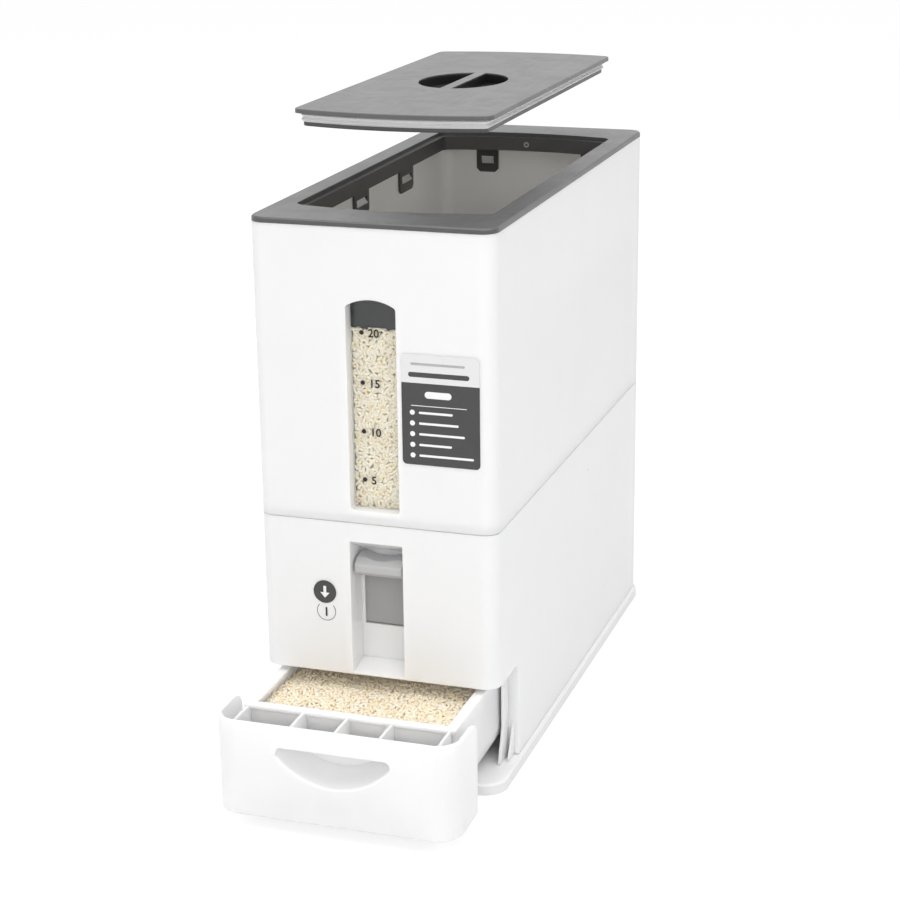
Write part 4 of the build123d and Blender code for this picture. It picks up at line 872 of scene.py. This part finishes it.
def press_marks():
    """Two round marks beside the lever: a dark one with an arrow, an outlined one with a number."""
    lay_film("press_disc", [disc_outline(PRESS_CENTRE, PRESS_RADIUS, 56)], FRONT, DECAL_THICKNESS,
             DARK_FILM)
    x, z = PRESS_CENTRE
    shaft_half, shaft_top = 1.1 * MM, z + 4.6 * MM
    head_half, head_top, tip = 3.7 * MM, z - 0.6 * MM, z - 4.8 * MM
    shaft = [(x - shaft_half, head_top), (x + shaft_half, head_top),
             (x + shaft_half, shaft_top), (x - shaft_half, shaft_top)]
    head = [(x, tip), (x + head_half, head_top), (x - head_half, head_top)]
    lay_film("press_arrow", [shaft, head], FRONT - DECAL_THICKNESS, PRINT_THICKNESS, WHITE_INK)
    outer, inner = PORTION_RADII
    ring = front_ring("ring", PORTION_CENTRE, outer, inner, FRONT, PRINT_THICKNESS, 56, PORTION_SPAN)
    make_piece("portion_ring", ring, BLACK_INK, "housing")
    digit = number_mesh("digit", "1", PORTION_DIGIT, PORTION_DIGIT_WEIGHT, True)
    digit.transform(Matrix.Translation((PORTION_CENTRE[0], FRONT - PRINT_THICKNESS / 2,
                                        PORTION_CENTRE[1] - PORTION_DIGIT_DROP)))
    make_piece("portion_number", digit, BLACK_INK, "housing")


def moulding_marks():
    """Marks left by the mould: a gate on the right side and a ring inside the rim's back."""
    gate = front_film("gate", [disc_outline((0, 0), 1.1 * MM, 20)], 0, DECAL_THICKNESS)
    outwards = Matrix.Rotation(math.radians(90), 4, "Z")
    gate.transform(Matrix.Translation((housing_high.x, GATE_Y, GATE_Z)) @ outwards)
    make_piece("gate_mark", gate, FINISHES["white_base"], "housing")
    inside = Vector((0, 100 * MM, COLLAR_MARK_Z))
    place = NODES["rim_frame"].ray_cast(inside, Vector((0, 1, 0)))[1]
    dot = front_ring("collar_mark", (place.x, place.z), 2.4 * MM, 1.1 * MM, place.y, 0.15 * MM, 24)
    make_piece("collar_mark", dot, GREY_INK, "housing")


def hopper_rice():
    """The store of rice: a heap in the hopper and the grains against the window."""
    grains = rice_in_window(LENS_BACK, WINDOW_LOW - 0.5 * MM, WINDOW_HALF - 0.6 * MM)
    make_piece("rice_at_window", grains, RICE, "housing")
    wall, window_layer = 3.6 * MM, 4.2 * MM
    x = (housing_low.x + wall, housing_high.x - wall)
    y = (LENS_BACK + window_layer, housing_high.y - wall)
    floor_low, floor_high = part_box("hopper_floor")
    cover_low, cover_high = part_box("meter_cover")
    drum_y = (cover_low.y + cover_high.y) / 2
    clearance = 6 * MM
    throat = floor_low.z + clearance
    floor_at_front, floor_at_back = floor_high.z - 14 * MM, floor_high.z + 2 * MM

    def under(depth):
        """A little above the sloping floor at a depth."""
        end, high = (y[1], floor_at_back) if depth > drum_y else (y[0], floor_at_front)
        reach = (depth - drum_y) / (end - drum_y)
        return throat + (high - throat) * max(reach, 0.0) + clearance

    level, rise, seed = RICE_LEVEL - 2.2 * MM, 2.0 * MM, 5
    bed = bed_block("rice_heap", x, y, under, level - 1.4 * MM, rise, seed)
    # the heap's body wears the rice tone with painted shade between the grains
    make_piece("rice_heap", bed, RICE_BED_SHADE, "housing")
    top = level_heap("rice_heap_top", seed, (x[0] + 3 * MM, x[1] - 3 * MM),
                     (y[0] + 2 * MM, y[1] - 3 * MM), level, rise,
                     spacing=3.3 * MM, drop=0.2 * MM, rings=4, sides=5)
    make_piece("rice_heap_top", top, RICE, "housing")


def drawer_rice():
    """The rice in the drawer's bin, which ends before the compartments at the front."""
    flange, wall, back_wall, room = 2 * MM, 2.6 * MM, 4.6 * MM, 163.2 * MM
    reach = min(-(bin_low.x + flange), bin_high.x - flange) - wall
    back = bin_high.y - back_wall
    front = back - room
    level, rise, seed = bin_high.z - DRAWER_RICE_DROP, 1.3 * MM, 9
    bed = bed_block("rice_portion", (-reach, reach), (front, back), lambda depth: level - 9 * MM,
                    level - 1.6 * MM, rise, seed, (30, 32))
    # the portion's body wears the rice tone with painted shade between the grains
    make_piece("rice_portion", bed, RICE_BED_SHADE, "drawer")
    x, y = (-reach + MM, reach - MM), (front + MM, back - MM)
    for layer, spacing, drop in (("top", 2.9 * MM, 0.0), ("below", 3.1 * MM, 1.5 * MM)):
        name = f"rice_portion_{layer}"
        grains = level_heap(name, seed, x, y, level, rise, spacing, drop, rings=5, sides=6)
        make_piece(name, grains, RICE, "drawer")


def lever_springs():
    """Wound springs in place of the plain rods."""
    low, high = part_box("return_springs")
    coils = coil_springs(low, high)
    coils.materials.append(FINISHES["steel"])
    piece = bpy.data.objects.new("return_coils", coils)
    bpy.context.scene.collection.objects.link(piece)
    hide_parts("return_springs")
    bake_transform(piece)


def screws():
    """Screws under the plinth and under the lid."""
    lid_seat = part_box("lid_bottom_plate")[0].z
    for name, places, seat, radius, height, body in (
            ("base_screw", BASE_SCREWS, BASE_SCREW_SEAT, 3.4 * MM, 1.9 * MM, "housing"),
            ("lid_screw", LID_SCREWS, lid_seat, 2.9 * MM, 1.5 * MM, "lid")):
        for index, (x, y) in enumerate(places, 1):
            mesh = screw_head("screw", Vector((x * MM, y * MM, seat)), radius, height)
            make_piece(f"{name}_{index}", mesh, FINISHES["steel"], body)


window_scale()
window_head()
front_label()
press_marks()
moulding_marks()
hopper_rice()
drawer_rice()
lever_springs()
screws()


# ---------------------------------------------------------------- studio
def straight_look(tree):
    """1 where a ray from the eye, a reflection or a see-through looks at the backdrop, otherwise 0."""
    path = add_node(tree, "ShaderNodeLightPath")
    seen = add_math(tree, "MAXIMUM", path.outputs["Is Camera Ray"], path.outputs["Is Glossy Ray"])
    return add_math(tree, "MAXIMUM", seen, path.outputs["Is Transmission Ray"])


def studio_floor():
    """A plain pale floor that keeps the part's shadow and runs out to white.

    To the eye it is mostly its own glow, with enough shade left for the shadow. It lights the
    part as plain matt floor.
    """
    reach = 6.0
    mesh = mesh_of("floor", [(-reach, -reach, 0), (reach, -reach, 0), (reach, reach, 0),
                             (-reach, reach, 0)], [(0, 1, 2, 3)])
    floor = bpy.data.objects.new("floor", mesh)
    bpy.context.scene.collection.objects.link(floor)
    material, tree, output = new_material("studio_floor")
    noise = object_noise(tree, 0.4, 2.0)
    tone = mix_colour(tree, noise, grey(0.8), grey(0.79))
    matt = add_node(tree, "ShaderNodeBsdfDiffuse", {"Color": tone})
    shade = add_node(tree, "ShaderNodeBsdfDiffuse", {"Color": grey(0.3)})
    glow = add_node(tree, "ShaderNodeEmission", {"Color": grey(1.0), "Strength": 0.79})
    seen = add_node(tree, "ShaderNodeAddShader", {0: shade.outputs[0], 1: glow.outputs[0]})
    mix = add_node(tree, "ShaderNodeMixShader", {
        0: straight_look(tree), 1: matt.outputs[0], 2: seen.outputs[0]})
    tree.links.new(mix.outputs[0], output.inputs["Surface"])
    mesh.materials.append(material)


def studio_world(level, lean, brighter_way):
    """Soft light from all round, a little more from one way; what looks straight at it sees white."""
    world = bpy.data.worlds.new("studio")
    world.use_nodes = True
    tree = world.node_tree
    tree.nodes.clear()
    way = add_node(tree, "ShaderNodeTexCoord").outputs["Generated"]
    facing = add_node(tree, "ShaderNodeVectorMath", {0: way, 1: Vector(brighter_way).normalized()},
                      operation="DOT_PRODUCT").outputs["Value"]
    strength = add_math(tree, "MULTIPLY_ADD", facing, lean)
    strength.node.inputs[2].default_value = level
    even = add_node(tree, "ShaderNodeBackground", {"Color": grey(1.0), "Strength": strength})
    white = add_node(tree, "ShaderNodeBackground", {"Color": grey(1.0), "Strength": 1.0})
    mix = add_node(tree, "ShaderNodeMixShader", {
        0: straight_look(tree), 1: even.outputs[0], 2: white.outputs[0]})
    output = add_node(tree, "ShaderNodeOutputWorld")
    tree.links.new(mix.outputs[0], output.inputs["Surface"])
    bpy.context.scene.world = world


def soft_lamp(name, place, aim, size, power):
    """A square soft box that shines from a place to an aim."""
    lamp = bpy.data.lights.new(name, "AREA")
    lamp.size = size
    lamp.energy = power
    holder = bpy.data.objects.new(name, lamp)
    holder.location = place
    holder.rotation_mode = "QUATERNION"
    holder.rotation_quaternion = (Vector(aim) - Vector(place)).to_track_quat("-Z", "Y")
    bpy.context.scene.collection.objects.link(holder)


def photo_camera():
    """The camera at the photograph's place, turn and lens."""
    azimuth, elevation, roll = (math.radians(v) for v in (
        CAMERA_AZIMUTH, CAMERA_ELEVATION, CAMERA_ROLL))
    back = Vector((math.sin(azimuth) * math.cos(elevation), -math.cos(azimuth) * math.cos(elevation),
                   math.sin(elevation)))
    right = Vector((0, 0, 1)).cross(back).normalized()
    up = back.cross(right)
    tilted_right = right * math.cos(roll) + up * math.sin(roll)
    tilted_up = up * math.cos(roll) - right * math.sin(roll)
    data = bpy.data.cameras.new("camera")
    data.sensor_width = SENSOR
    data.lens = FOCAL_PIXELS / IMAGE_SIDE * SENSOR
    data.clip_start = 0.05
    data.clip_end = 60.0
    camera = bpy.data.objects.new("camera", data)
    turn = Matrix((tilted_right, tilted_up, back)).transposed().to_4x4()
    camera.matrix_world = Matrix.Translation(CAMERA_PLACE) @ turn
    bpy.context.scene.collection.objects.link(camera)
    bpy.context.scene.camera = camera


studio_floor()
studio_world(level=0.62, lean=0.22, brighter_way=(-0.5, -0.85, 0.25))
soft_lamp("key", place=(-1.2, -2.6, 1.4), aim=(0, -0.1, 0.2), size=2.2, power=6)
soft_lamp("top", place=(0.1, -0.1, 2.2), aim=(0, 0, 0.2), size=2.2, power=38)
soft_lamp("front_right", place=(0.95, -1.5, 0.75), aim=(0.05, -0.15, 0.25), size=0.9, power=5.5)
photo_camera()
bpy.context.scene.view_settings.view_transform = "Standard"
